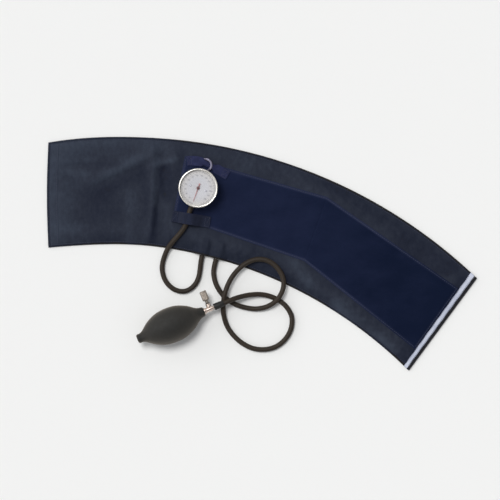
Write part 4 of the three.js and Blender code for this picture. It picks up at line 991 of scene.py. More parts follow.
@dataclass(frozen=True)
class Placement:
    """A frame in the part: an origin and three axes."""

    origin: Point
    x_axis: Point
    y_axis: Point
    z_axis: Point

    def put(self, points: Array) -> Array:
        """Points of this frame in the part's frame."""
        return np.array(self.origin) + points @ np.array([self.x_axis, self.y_axis, self.z_axis])

    def set_in(self, grid: Grid) -> Grid:
        """A grid of this frame in the part's frame."""
        return Grid(self.put(grid.points), grid.ways, grid.tone)


def dress(finish: Finish, *nodes: str) -> None:
    """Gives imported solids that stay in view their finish.

    Args:
        finish: the finish.
        nodes: the solids' names.
    """
    for name in nodes:
        solid = frame["nodes"][name]
        if not solid.material_slots:
            solid.data.materials.append(None)
        for material_slot in solid.material_slots:
            material_slot.material = finish.material()
        logger.info("%s: %s", name, finish.name)


# Cuff


def soft_lines(point: Array, rows: Array) -> Array:
    """The sum of soft-edged lines: each one's height times a bell across it and a bell past its ends.

    Args:
        point: places of x and y.
        rows: a line in each row, as its start, its end, its height and its half width.

    Returns:
        The sum at each place.
    """
    start, end, height, width = rows[:, :2], rows[:, 2:4], rows[:, 4], rows[:, 5]
    way = end - start
    length = np.linalg.norm(way, axis=1)
    offset = point[..., None, :] - start
    run = (offset * way).sum(-1) / length
    aside = np.abs(offset[..., 0] * way[:, 1] - offset[..., 1] * way[:, 0]) / length
    beyond = np.maximum(0, np.maximum(-run, run - length))
    return (height * np.exp(-((aside / width) ** 2) - (beyond / (1.5 * width)) ** 2)).sum(-1)


@dataclass(frozen=True)
class EdgeArc:
    """An arc from one point to another that bulges upwards, with its angles clockwise from +Y."""

    start: Pair
    end: Pair
    radius: float

    @property
    def centre(self) -> Array:
        """The chord's middle, moved down square to the chord.

        It moves by the root of the radius squared less the half chord squared.

        Returns:
            The centre's x and y.
        """
        start, chord = np.array(self.start), np.subtract(self.end, self.start)
        down = unit(np.array([chord[1], -chord[0]]))
        return start + chord / 2 + down * math.sqrt(self.radius**2 - chord @ chord / 4)

    @property
    def angles(self) -> Pair:
        """The angles of the start and the end."""
        offset = np.array([self.start, self.end]) - self.centre
        return tuple(np.arctan2(offset[:, 0], offset[:, 1]).tolist())

    @property
    def length(self) -> float:
        """The arc's length."""
        first, last = self.angles
        return self.radius * (last - first)

    def at(self, share: Array) -> Array:
        """Points at shares of the way along the arc."""
        angle = self.angles[0] + (self.angles[1] - self.angles[0]) * share
        return self.centre + self.radius * np.stack([np.sin(angle), np.cos(angle)], axis=-1)


@dataclass(frozen=True)
class CuffShape:
    """The cuff's outline and the heights of its layers.

    A station s runs from -1 at the free end through 0 at the seam to 1 at the far end, and v from 0 on the
    lower edge to 1 on the upper edge.
    """

    free_end_x: float = -292.5
    seam_x: float = -144.5
    free_end_bow: float = 2.0
    top_corner_y: float = 97.9
    bottom_corner_y: float = -43.9
    top_swell: float = 8.5
    bottom_swell: float = 4.0
    top_arc: EdgeArc = EdgeArc((-144.5, 103.75), (286.3, -85.4), 684.5)
    bottom_arc: EdgeArc = EdgeArc((-144.5, -42.95), (193.8, -210.1), 588.2)
    wall: float = 1.0
    crown: float = 1.5
    edge_ramp: float = 18.0
    pocket_ramp: float = 22.0
    pocket_fade: float = 95.0
    bladder: float = 4.1
    bladder_end: float = 0.689
    hem_width: float = 3.6
    tape_lift: float = 0.8
    tape_margin: float = 10.0
    port_x: Pair = (-84.9, -65.9)
    port_height: float = 7.3
    tent_reach: float = 18.0
    tent_flat: float = 4.0
    tent_foot: float = 15.0
    roll: float = 3.2
    fold: float = 14.4

    @property
    def free_length(self) -> float:
        """Length from the free end to the seam."""
        return self.seam_x - self.free_end_x

    @property
    def arc_length(self) -> float:
        """Mean length of the two arcs."""
        return (self.top_arc.length + self.bottom_arc.length) / 2

    @property
    def shell_end(self) -> float:
        """The station where the shells end in the binding."""
        return 1 - (self.hem_width + GAP) / self.arc_length

    @property
    def shell_length(self) -> float:
        """Length of the shells from the free end to the binding."""
        return self.free_length + self.shell_end * self.arc_length

    @property
    def edge_row(self) -> float:
        """How far the row of stitches beside the turned roll lies from the outline."""
        return self.roll + 0.3

    @property
    def fold_row(self) -> float:
        """How far the row of stitches at the doubled end's fold lies from the free end."""
        return self.fold - 1.8

    def edge(self, s: Array, corner_y: float, swell: float, arc: EdgeArc) -> Array:
        """One long edge: a cubic from the free corner that meets its arc along the arc's tangent.

        Args:
            s: stations.
            corner_y: where the edge starts on the free end.
            swell: how far it leaves the free corner outwards.
            arc: the arc that it meets.

        Returns:
            Points on the edge.
        """
        s = np.asarray(s, float)
        reach, (angle, _) = self.free_length / 3, arc.angles
        meet = arc.at(np.array(0.0))
        handles = np.array([
            [self.free_end_x, corner_y], [self.free_end_x + reach, corner_y + swell],
            [meet[0] - reach * math.cos(angle), meet[1] + reach * math.sin(angle)], meet,
        ])
        t = np.clip(s + 1, 0, 1)[..., None]
        weights = np.concatenate([(1 - t) ** 3, 3 * t * (1 - t) ** 2, 3 * t**2 * (1 - t), t**3], axis=-1)
        return np.where(s[..., None] < 0, weights @ handles, arc.at(np.clip(s, 0, 1)))

    def bottom(self, s: Array) -> Array:
        """Points on the lower edge."""
        return self.edge(s, self.bottom_corner_y, self.bottom_swell, self.bottom_arc)

    def top(self, s: Array) -> Array:
        """Points on the upper edge."""
        return self.edge(s, self.top_corner_y, self.top_swell, self.top_arc)

    def width(self, s: Array) -> Array:
        """The cuff's width at a station."""
        return np.linalg.norm(self.top(s) - self.bottom(s), axis=-1)

    def place(self, s: Array, v: Array) -> Array:
        """The point at a station and a share of the width, with the free end bowed outwards.

        Args:
            s: stations.
            v: shares of the width.

        Returns:
            Places of x and y.
        """
        s, v = paired(s, v)
        point = self.bottom(s) * (1 - v[..., None]) + self.top(s) * v[..., None]
        bow = np.where(s < 0, self.free_end_bow * -s * np.sin(np.pi * v), 0)
        return point - np.stack([bow, np.zeros_like(bow)], axis=-1)

    def along(self, s: Array) -> Array:
        """Length along the cuff from the seam."""
        return np.where(np.asarray(s) < 0, s * self.free_length, s * self.arc_length)

    def station(self, run: Array) -> Array:
        """The station at a length from the free end."""
        past = run - self.free_length
        return np.where(past < 0, past / self.free_length, past / self.arc_length)

    def station_at(self, point: Array) -> tuple[Array, Array]:
        """The station and the share of the width at points.

        Each halving asks on which side of a station's line across the cuff the points lie.

        Args:
            point: places of x and y.

        Returns:
            Stations and shares of the width.
        """
        low, high = np.full(point.shape[:-1], -1.0), np.full(point.shape[:-1], 1.0)
        for _ in range(HALVINGS):
            middle = (low + high) / 2
            bottom = self.bottom(middle)
            across, offset = self.top(middle) - bottom, point - bottom
            past = across[..., 0] * offset[..., 1] - across[..., 1] * offset[..., 0] > 0
            low, high = np.where(past, low, middle), np.where(past, middle, high)
        bottom = self.bottom(low)
        across = self.top(low) - bottom
        return low, ((point - bottom) * across).sum(-1) / (across**2).sum(-1)

    def edge_distance(self, s: Array, v: Array) -> Array:
        """Distance to the nearer long edge."""
        return np.minimum(v, 1 - v) * self.width(s)

    def creases(self, point: Array) -> Array:
        """Height of the folds, by the formula of soft lines.

        Args:
            point: places of x and y.

        Returns:
            The height at each.
        """
        return soft_lines(point, np.array([
            (-236, 46, -168, 76, 2.4, 9), (-277, 72, -232, 75, 0.9, 7), (-274, 58, -244, 59, 0.8, 6),
            (-150, 86, -153, -38, 2.6, 7), (-142, 68, -122, 76, 1.8, 6), (38, -84, 54, -94, 1.6, 6),
            (76, -106, 90, -116, 1.4, 6), (238, -63, 262, -80, 1.5, 6), (-134, 60, -132, 34, -1.3, 6),
            (-142, 27, -152, -38, -1.3, 2.6), (-272, 66, -238, 68, -0.6, 3.5), (-226, 40, -160, 68, -0.9, 5),
            (120, 12, 150, -4, 0.8, 4), (176, -20, 206, -38, 0.9, 4.5), (56, 34, 84, 24, 0.5, 4),
            (232, -92, 250, -104, 0.7, 4), (-60, 78, -20, 70, 0.5, 5), (-262, 6, -214, -14, 0.5, 7),
            (-240, -30, -190, -22, 0.5, 6), (108, -136, 122, -150, 0.7, 4),
        ]))

    def wear(self, point: Array) -> Array:
        """Painted light and shade: lighter bands where light is painted on folds and darker bands where shade
        is painted in valleys, by the formula of soft lines.

        Args:
            point: places of x and y.

        Returns:
            The change at each.
        """
        return soft_lines(point, np.array([
            (-296, 95, -296, -45, 0.2, 34), (-285, 100, -150, 104, 0.18, 16), (-222, 8, -216, -22, -0.18, 28),
            (-229, 43, -172, 75, 0.19, 7), (-214, 33, -168, 56, -0.14, 8), (-272, 72, -232, 74, 0.1, 5),
            (-226, 68, -204, 68, -0.14, 5), (-184, 28, -183, -38, 0.14, 7), (-166, 60, -164, -8, -0.08, 6),
            (-159, 44, -159, 0, -0.16, 4), (-148, 4, -154, -44, -0.42, 4.6), (-136, 58, -134, 32, -0.5, 7),
            (-262, 58, -246, 56, 0.2, 6), (-262, -18, -204, -18, 0.14, 9), (-126, 50, -124, 34, -0.16, 7),
            (-143, 70, -121, 75, 0.22, 5), (-136, 8, -122, -20, 0.1, 8), (-115, 60, -114, 78, -0.16, 8),
            (44, -70, 54, -84, 0.26, 9), (0, -44, 34, -62, 0.08, 9), (60, -90, 96, -114, 0.12, 8),
            (100, 34, 210, -40, -0.2, 14), (60, 50, 100, 34, -0.1, 8), (196, -46, 246, -72, -0.36, 13),
            (238, -88, 252, -84, 0.14, 5), (262, -94, 184, -192, -0.42, 7), (102, -126, 156, -172, 0.24, 12),
            (96, -126, 112, -140, 0.18, 6), (158, -166, 178, -184, 0.18, 6), (-100, -24, -40, -40, 0.1, 10),
        ]))

    def ripples(self, s: Array, v: Array, point: Array) -> Array:
        """Slack of the cloth: slow crossed waves, puckers at the sewn edges, and crinkles beside the pile.

        Args:
            s: stations.
            v: shares of the width.
            point: their places.

        Returns:
            The rise at each.
        """
        x, y = point[..., 0], point[..., 1]
        run, near = self.along(s), self.edge_distance(s, v)
        slow = 0.3 * np.sin(x / 15 + 1.4 * np.sin(y / 22)) * np.sin(y / 12 + 1.1 * np.sin(x / 29))
        pucker = 0.42 * np.sin(run / 1.9 + 2.2 * np.sin(run / 17)) * np.exp(-near / 6.5)
        crinkle = np.sin(run / 2.7 + 1.9 * np.sin(near / 4.5)) * np.sin(near / 3.4 + 1.6 * np.sin(run / 13))
        beside = smoothstep(run, 60, 140) * np.exp(-(((near - 16) / 14) ** 2))
        return slow + pucker * smoothstep(near, 3.0, 4.6) + 0.42 * crinkle * beside

    def ports(self, point: Array) -> Array:
        """Rise of the cloth over the two ports, full on the lower edge and gone past the tents' reach.

        Args:
            point: places of x and y.

        Returns:
            The rise at each.
        """
        offset = point - self.bottom_arc.centre
        angle, inward = np.arctan2(offset[..., 0], offset[..., 1]), np.linalg.norm(offset, axis=-1)
        near = inward - self.bottom_arc.radius
        reach = 1 - smoothstep(near, self.tent_reach, self.tent_reach + self.edge_ramp)
        aside = np.abs(angle[..., None] - self.port_angles()) * self.bottom_arc.radius
        tents = np.clip((self.tent_foot - aside) / (self.tent_foot - self.tent_flat), 0, 1)
        return self.port_height * reach * tents.max(-1)

    def port_angles(self) -> Array:
        """The ports' angles on the lower arc."""
        return np.arcsin((np.array(self.port_x) - self.bottom_arc.centre[0]) / self.bottom_arc.radius)

    def bladder_room(self, s: Array, v: Array) -> Array:
        """Height of the pocket: a rise at the seam, a long fall to the far end, and a ramp at both edges.

        Args:
            s: stations.
            v: shares of the width.

        Returns:
            The height at each.
        """
        run, end = self.along(s), self.bladder_end * self.arc_length
        rise = smoothstep(run, 0, self.pocket_ramp) * (1 - smoothstep(run, end, end + self.pocket_fade))
        return (self.bladder + 2 * GAP) * rise * smoothstep(self.edge_distance(s, v), 0, self.edge_ramp)

    def border(self, s: Array, v: Array) -> Array:
        """A share that rises from 0 on the outline to 1 past the edge ramp.

        Args:
            s: stations.
            v: shares of the width.

        Returns:
            The share at each.
        """
        run = self.along(s)
        return (smoothstep(self.edge_distance(s, v), 0, self.edge_ramp)
                * smoothstep(run + self.free_length, 0, self.edge_ramp)
                * smoothstep(self.arc_length - run, 0, self.edge_ramp))

    def inner_under(self, s: Array, v: Array) -> Array:
        """Underside of the arm side, which rises over the hook tape.

        Args:
            s: stations.
            v: shares of the width.

        Returns:
            The height at each.
        """
        run = self.along(s)
        inside = (smoothstep(self.edge_distance(s, v), 0, self.tape_margin)
                  * smoothstep(run + self.free_length, self.tape_margin, 2 * self.tape_margin)
                  * smoothstep(-run, 0, self.tape_margin))
        return (self.tape_lift + GAP) * inside

    def outer_under(self, s: Array, v: Array) -> Array:
        """Underside of the outer cloth: arm side, its wall, and the hollow with its folds.

        Args:
            s: stations.
            v: shares of the width.

        Returns:
            The height at each.
        """
        point, border = self.place(s, v), self.border(s, v)
        crown = border * self.crown
        hollow = np.maximum(np.maximum(self.bladder_room(s, v), crown), self.ports(point))
        folds = np.maximum(border * (self.creases(point) + self.ripples(s, v, point)), -0.6 * crown)
        return self.inner_under(s, v) + self.wall + GAP + hollow + folds

    def outer_over(self, s: Array, v: Array) -> Array:
        """Top of the outer cloth, with the doubled free end, the turned roll and the stitch groove.

        Args:
            s: stations.
            v: shares of the width.

        Returns:
            The height at each.
        """
        run, near = self.along(s) + self.free_length, self.edge_distance(s, v)
        doubled = 0.55 * (1 - smoothstep(run, self.fold - 0.5, self.fold + 0.5))
        roll = 0.5 * np.sin(np.pi * np.clip(np.minimum(near, run) / self.roll, 0, 1)) ** 0.7
        grooves = sum(
            0.4 * np.exp(-(((distance - at) / 0.45) ** 2))
            for distance, at in ((near, self.edge_row), (run, self.edge_row), (run, self.fold_row)))
        return self.outer_under(s, v) + self.wall + doubled + roll - grooves

    def cloth_line(self, s: Any, v: Any, lift: float = 0.0) -> Array:
        """Points that lie on the outer cloth, at stations and shares of the width."""
        s, v = paired(s, v)
        return raised(self.place(s, v), self.outer_over(s, v) + lift)


def pillow(
    point: Array, under: Array, over: Array, rim: Array, ways: Array, tone: Array | float = 0.5,
) -> list[Grid]:
    """A closed cloth with rounded edges: its two faces meet halfway at the rim along quarter circles.

    Args:
        point: rows by columns of x and y.
        under: height of the underside.
        over: height of the top.
        rim: distance to the outline.
        ways: lengths along and across.
        tone: the cloth tone.

    Returns:
        The top and the underside, which share their outline.
    """
    half = np.maximum((over - under) / 2, 0.05)
    curl = half * (1 - np.sqrt(1 - (1 - np.clip(rim / half, 0, 1)) ** 2))
    return [Grid(raised(point, height), ways, tone) for height in (over - curl, under + curl)]


def cloth(name: str, grids: list[Grid], finish: Finish, replaced: str) -> Part:
    """Makes a piece of cloth whose rounded edges are smooth."""
    return Piece(name, grids, finish, replaces=replaced, crease=SOFT_CREASE).build()


def spaced(length: float, step: float, fine: tuple[float, ...] = (0, 0.1, 0.3, 0.6, 1.0, 1.6, 2.4)) -> Array:
    """Lengths from 0 to length: fine ones at both ends and even steps between.

    Args:
        length: the whole length.
        step: the even step, roughly.
        fine: the lengths close to an end.

    Returns:
        The lengths.
    """
    near = np.array(fine)
    middle = np.linspace(near[-1], length - near[-1], max(2, round((length - 2 * near[-1]) / step)))[1:-1]
    return np.concatenate([near, middle, length - near[::-1]])


@dataclass(frozen=True)
class LoopPanel:
    """The loop panel: two strips with a mitre between them, sewn to the outer cloth all round."""

    shape: CuffShape = CuffShape()
    top_left: Pair = (-108.0, 79.6)
    top_kink: Pair = (83.7, 24.3)
    top_right: Pair = (261.5, -99.4)
    bottom_right: Pair = (202.5, -181.4)
    bottom_kink: Pair = (52.7, -62.1)
    bottom_left: Pair = (-124.2, -1.4)
    lengths: Pair = (199.6, 200.1)
    thickness: float = 1.2
    ground: float = 0.55
    selvedge: float = 3.4
    lift: float = 0.25
    stitch_margin: float = 1.9

    def edge(self, s: Array, left: Pair, kink: Pair, right: Pair) -> Array:
        """Points along one long edge: straight from its left end to the mitre and on to its right end.

        Args:
            s: stations.
            left: the left end.
            kink: the mitre.
            right: the right end.

        Returns:
            Points on the edge.
        """
        middle = np.array(kink)
        return np.where(s[..., None] < 0, middle + (middle - left) * s[..., None],
                        middle + (np.array(right) - middle) * s[..., None])

    def place(self, s: Any, v: Any) -> Array:
        """The point at a station, -1 to 1 with the mitre at 0, and a share of the width.

        Args:
            s: stations.
            v: shares of the width.

        Returns:
            Places of x and y.
        """
        s, v = paired(s, v)
        lower = self.edge(s, self.bottom_left, self.bottom_kink, self.bottom_right)
        upper = self.edge(s, self.top_left, self.top_kink, self.top_right)
        return lower * (1 - v[..., None]) + upper * v[..., None]

    def width(self, s: Array) -> Array:
        """The panel's width at a station."""
        return np.linalg.norm(self.place(s, 1.0) - self.place(s, 0.0), axis=-1)

    def under(self, point: Array) -> Array:
        """The panel's underside: just over the outer cloth."""
        return self.shape.outer_over(*self.shape.station_at(point)) + self.lift

    def build_panel(self) -> Part:
        """The woven ground, on which the pile stands inside the selvedge, with a dip along the mitre.

        Returns:
            The panel.
        """
        ends = (0, 0.1, 0.3, 0.7, 1.4, 2.4, 3.2, 3.7, 4.4)
        left, right = (spaced(length, 1.9, ends) / length for length in self.lengths)
        s = np.concatenate([left - 1, right[1:]])[:, None]
        width = self.width(s)
        across = spaced(1.0, 0.021, (0, 0.001, 0.003, 0.007, 0.014, 0.024, 0.034, 0.038, 0.046)) * width
        point = self.place(s, across / width)
        run = np.where(s < 0, (s + 1) * self.lengths[0], self.lengths[0] + s * self.lengths[1])
        rim = least(0.96 * across, 0.96 * (width - across), run, sum(self.lengths) - run)
        inside = smoothstep(rim, self.selvedge - 0.5, self.selvedge + 0.8)
        dip = 0.35 * np.exp(-(((run - self.lengths[0]) / 1.3) ** 2))
        under = self.under(point)
        over = under + self.ground + (self.thickness - self.ground - dip) * inside
        # The selvedge tone is 0.85 along most of the panel and falls to 0.25 towards the far end of the right
        # strip.
        selvedge_share = 0.85 - 0.6 * smoothstep(s, 0.2, 0.9)
        grids = pillow(point, under, over, rim, ways_of(run, across), (1 - inside) * selvedge_share)
        return cloth("loop_pile_panel", grids, PILE, "loop_panel")

    def build_stitches(self) -> Part:
        """One row of stitches on each side of the selvedge.

        Returns:
            The stitches.
        """
        margin = self.stitch_margin
        around = np.linspace(-1 + margin / self.lengths[0], 1 - margin / self.lengths[1], 500)
        inset = margin / self.width(around)
        up = np.linspace(0.03, 0.97, 120)
        points = [self.place(*side) for side in (
            (around, inset), (around, 1 - inset), (around[0], up), (around[-1], up))]
        rows = [seam(raised(point, self.under(point) + self.ground)) for point in points]
        return Piece("panel_stitches", rows, THREAD).build()


@dataclass(frozen=True)
class Cuff:
    """The cuff: two shells, binding, index stripe, hook and loop panels, bladder and their stitching.

    The cuts of its sheets and their areas, in metres, are as they lie flat before they are sewn.
    """

    shape: CuffShape = CuffShape()
    panel: LoopPanel = LoopPanel()
    shell_cut: Pair = (0.152, 0.586)
    shell_area: float = 0.0862
    tape_cut: Pair = (0.116, 0.12)
    panel_cut: Pair = (0.104, 0.435)
    panel_area: float = 0.0378
    lining_inset: float = 2.2
    lining_start: float = 2.0
    lining_thickness: float = 0.9
    tape_start: float = 20.0
    tape_length: float = 118.0
    tape_inset: float = 15.7
    tape_thickness: float = 0.8
    binding_height: float = 2.9
    stripe_width: float = 6.0
    stripe_lift: float = 0.12
    stripe_thickness: float = 0.5
    bladder_start: float = 6.5
    bladder_inset: float = 12.0
    bladder_rim: float = 1.0
    neck_height: float = 4.65
    neck_length: float = 15.0
    neck_radius: float = 3.35
    neck_bore: float = 2.0

    def grid(self, step: float, columns: int) -> tuple[Array, Array, Array]:
        """A grid over the outer cloth, close at its edges and at the turned fold.

        Args:
            step: the distance between rows.
            columns: how many columns lie between the close ones.

        Returns:
            Stations, shares of the width and ways.
        """
        shape = self.shape
        near = np.array([0, 0.1, 0.3, 0.6, 1.0, 1.5, 2.1, 2.7, 3.1, 3.5, 3.9, 4.5, 5.5, 7.0, 9.0])
        start = np.concatenate([near[:-4], [4.6, 6.0, 8.0, 10.0], np.arange(11.4, 16.4, 0.4)])
        end = shape.shell_length - np.array([2.4, 1.6, 1.0, 0.6, 0.3, 0.1, 0])
        middle = np.linspace(start[-1], end[0], round((shape.shell_length - start[-1]) / step))[1:-1]
        run = np.concatenate([start, middle, end])
        s = shape.station(run)[:, None]
        width = shape.width(s)
        share = np.linspace(0, 1, columns)[None, 1:-1]
        inner = near[-1] + (width - 2 * near[-1]) * share
        across = np.hstack([near + 0 * width, inner, width - near[::-1]])
        return s + 0 * across, across / width, ways_of(run[:, None], across)

    def build_outer_shell(self) -> Part:
        """The outer cloth. It is turned in at its edges, apart from the two mouths over the ports.

        Its tone adds up light and shade painted on the folds, a darker lower half and doubled cloth, less a
        dark line at the edge.

        Returns:
            The cloth.
        """
        shape = self.shape
        s, v, ways = self.grid(1.9, 58)
        point, run = shape.place(s, v), shape.along(s) + shape.free_length
        rim = np.minimum(shape.edge_distance(s, v), run)
        lifted = smoothstep(shape.ports(point), 0.0, 2.0)
        turned_in = (1 - smoothstep(rim, 2.6, 3.6)) * (1 - lifted)
        under = shape.outer_under(s, v) * (1 - turned_in) + 0.15 * turned_in
        # Painted light and shade: fold heights and the table of bands lighten ridges and darken valleys.
        folds = shape.creases(point) * 0.03 + shape.ripples(s, v, point) * 0.12 + shape.wear(point)
        edge_line = 0.42 * (1 - smoothstep(rim, 1.6, 3.2))
        doubled = 0.012 * (1 - smoothstep(run, shape.fold, shape.fold + 1.5))
        lower = 0.12 * (1 - smoothstep(v, 0.3, 0.5)) * smoothstep(shape.along(s), -20, 60)
        tone = np.clip(np.clip(0.5 + folds - lower, 0.28, 1) + doubled - edge_line, 0, 1)
        end = shape.shell_length - run
        grids = pillow(point, under, shape.outer_over(s, v), np.minimum(rim, end), ways, tone)
        return cloth("cuff_top", grids, NYLON, "cuff_outer_shell")

    def build_inner_shell(self) -> Part:
        """The arm side, tucked inside the turned edges.

        Returns:
            The cloth.
        """
        shape, inset, start = self.shape, self.lining_inset, self.lining_start
        run = (spaced(shape.shell_length - start, 6.0) + start)[:, None]
        s = shape.station(run)
        width = shape.width(s)
        across = inset + spaced(1.0, 0.08, (0, 0.001, 0.003, 0.006, 0.01, 0.02)) * (width - 2 * inset)
        v = across / width
        under = shape.inner_under(s, v) + 0.02
        rim = least(across - inset, width - across - inset, run - start)
        grids = pillow(shape.place(s, v), under, under + self.lining_thickness, rim, ways_of(run, across))
        return cloth("cuff_lining", grids, LINING, "cuff_inner_shell")

    def build_hook_panel(self) -> Part:
        """The hook tape on the arm side of the free end.

        Returns:
            The tape.
        """
        shape, inset, start = self.shape, self.tape_inset, self.tape_start
        run = (spaced(self.tape_length, 5.0, (0, 0.05, 0.15, 0.4)) + start)[:, None]
        s = shape.station(run)
        width = shape.width(s)
        across = inset + spaced(1.0, 0.06, (0, 0.0005, 0.0015, 0.004)) * (width - 2 * inset)
        rim = least(across - inset, width - across - inset, run - start, start + self.tape_length - run)
        flat = np.zeros_like(across)
        point = shape.place(s, across / width)
        grids = pillow(point, flat, flat + self.tape_thickness, rim, ways_of(run, across))
        return cloth("hook_tape_panel", grids, HOOK_PANEL, "hook_panel")

    def build_binding(self) -> Part:
        """The rounded binding that closes the far end, a little uneven in height.

        Returns:
            The binding.
        """
        shape = self.shape
        middle = 1 - 0.5 * shape.hem_width / shape.arc_length
        v = np.linspace(0, 1, 90)
        height = self.binding_height + 0.12 * np.sin(34 * v + 2 * np.sin(9 * v))
        line = raised(shape.place(middle, v), 0 * v)
        grid = bar(Path(line), shape.hem_width, height, square=0.62, end=1.2)
        return Piece("end_binding", [grid], BINDING, replaces="end_hem").build()

    def build_stripe(self) -> Part:
        """The index tape, laid on the cloth beside the binding, a little uneven along its edges.

        Returns:
            The tape.
        """
        shape, width = self.shape, self.stripe_width
        run = spaced(width, 0.8, (0, 0.05, 0.15, 0.4)) / shape.arc_length
        s = (shape.shell_end - (GAP + width) / shape.arc_length + run)[:, None]
        v = spaced(1.0, 0.009, (0, 0.0004, 0.001, 0.003))[None, :]
        under = shape.outer_over(s, v) + self.stripe_lift
        along, across = run[:, None] * shape.arc_length + 0 * v, v * shape.width(s)
        rim = least(along, width - along, across, across[:, -1:] - across)
        wavy = 0.18 * np.sin(across / 3.1) * np.abs(2 * along / width - 1)
        point = shape.place(s, v) + ways_of(wavy, 0 * across)
        tone = 0.55 + 0.08 * np.sin(across / 6.0 + 2 * np.sin(across / 11.0)) - 0.2 * (rim < 0.5)
        grids = pillow(point, under, under + self.stripe_thickness, rim, ways_of(along, across), tone)
        return cloth("index_tape", grids, STRIPE_TAPE, "index_stripe")

    def build_bladder(self) -> Part:
        """The slack rubber bag in its pocket, with a welded rim and its two necks.

        Returns:
            The bladder.
        """
        shape, inset = self.shape, self.bladder_inset
        first = shape.free_length + self.bladder_start
        length = shape.free_length + shape.bladder_end * shape.arc_length - first
        run = spaced(length, 5.0, (0, 0.1, 0.3, 0.7, 2.0))[:, None]
        s = shape.station(run + first)
        width = shape.width(s) - 2 * inset
        across = spaced(1.0, 0.045, (0, 0.001, 0.003, 0.007, 0.02)) * width
        v = (across + inset) / shape.width(s)
        rim = least(across, width - across, run, length - run)
        under = np.full(v.shape, shape.wall + GAP)
        room = np.maximum(self.bladder_rim, shape.bladder_room(s, v) - 2 * GAP)
        over = under + self.bladder_rim + (room - self.bladder_rim) * smoothstep(rim, 4.0, 9.0)
        grids = pillow(shape.place(s, v), under, over, rim, ways_of(run, across))
        necks = [self.neck(angle) for angle in shape.port_angles()]
        return Piece("rubber_bladder", [*grids, *necks], SEAL_RUBBER, replaces="bladder").build()

    def neck(self, angle: float) -> Grid:
        """A port: a short hose from inside the bladder to the lower edge, with a rolled mouth.

        Args:
            angle: the port's angle on the lower arc.

        Returns:
            The hose.
        """
        arc = self.shape.bottom_arc
        outwards = np.array([math.sin(angle), math.cos(angle), 0.0])
        edge = np.append(arc.centre + arc.radius * outwards[:2], self.neck_height)
        line = edge + outwards * np.linspace(self.neck_length, 0, 16)[:, None]
        return hose(Path(line), self.neck_radius, self.neck_bore, 32)

    def build_stitching(self) -> Part:
        """Rows of thread along both long edges, the free end and its fold, and the stripe.

        Returns:
            The stitches.
        """
        shape = self.shape
        s = shape.station(np.linspace(4, shape.shell_length - 2, 700))
        offset = shape.edge_row / shape.width(s)
        mouth = shape.ports(shape.place(s, offset)) < 1.0
        v = np.linspace(0.03, 0.97, 200)
        rows = [seam(shape.cloth_line(s, offset)[mouth]), seam(shape.cloth_line(s, 1 - offset))]
        rows += [seam(shape.cloth_line(shape.station(np.array(distance)), v))
                 for distance in (shape.edge_row, shape.fold_row)]
        rows += [seam(shape.cloth_line(shape.shell_end - distance / shape.arc_length, v, 0.56),
                      pitch=2.6, length=1.9, width=0.4) for distance in (1.2, 5.8)]
        return Piece("cuff_stitches", rows, THREAD).build()

    def build(self) -> None:
        """Makes every piece of the cuff."""
        shell, lining, tape = self.build_outer_shell(), self.build_inner_shell(), self.build_hook_panel()
        binding, stripe, stitches = self.build_binding(), self.build_stripe(), self.build_stitching()
        bladder = self.build_bladder()
        panel, panel_stitches = self.panel.build_panel(), self.panel.build_stitches()


# Straps


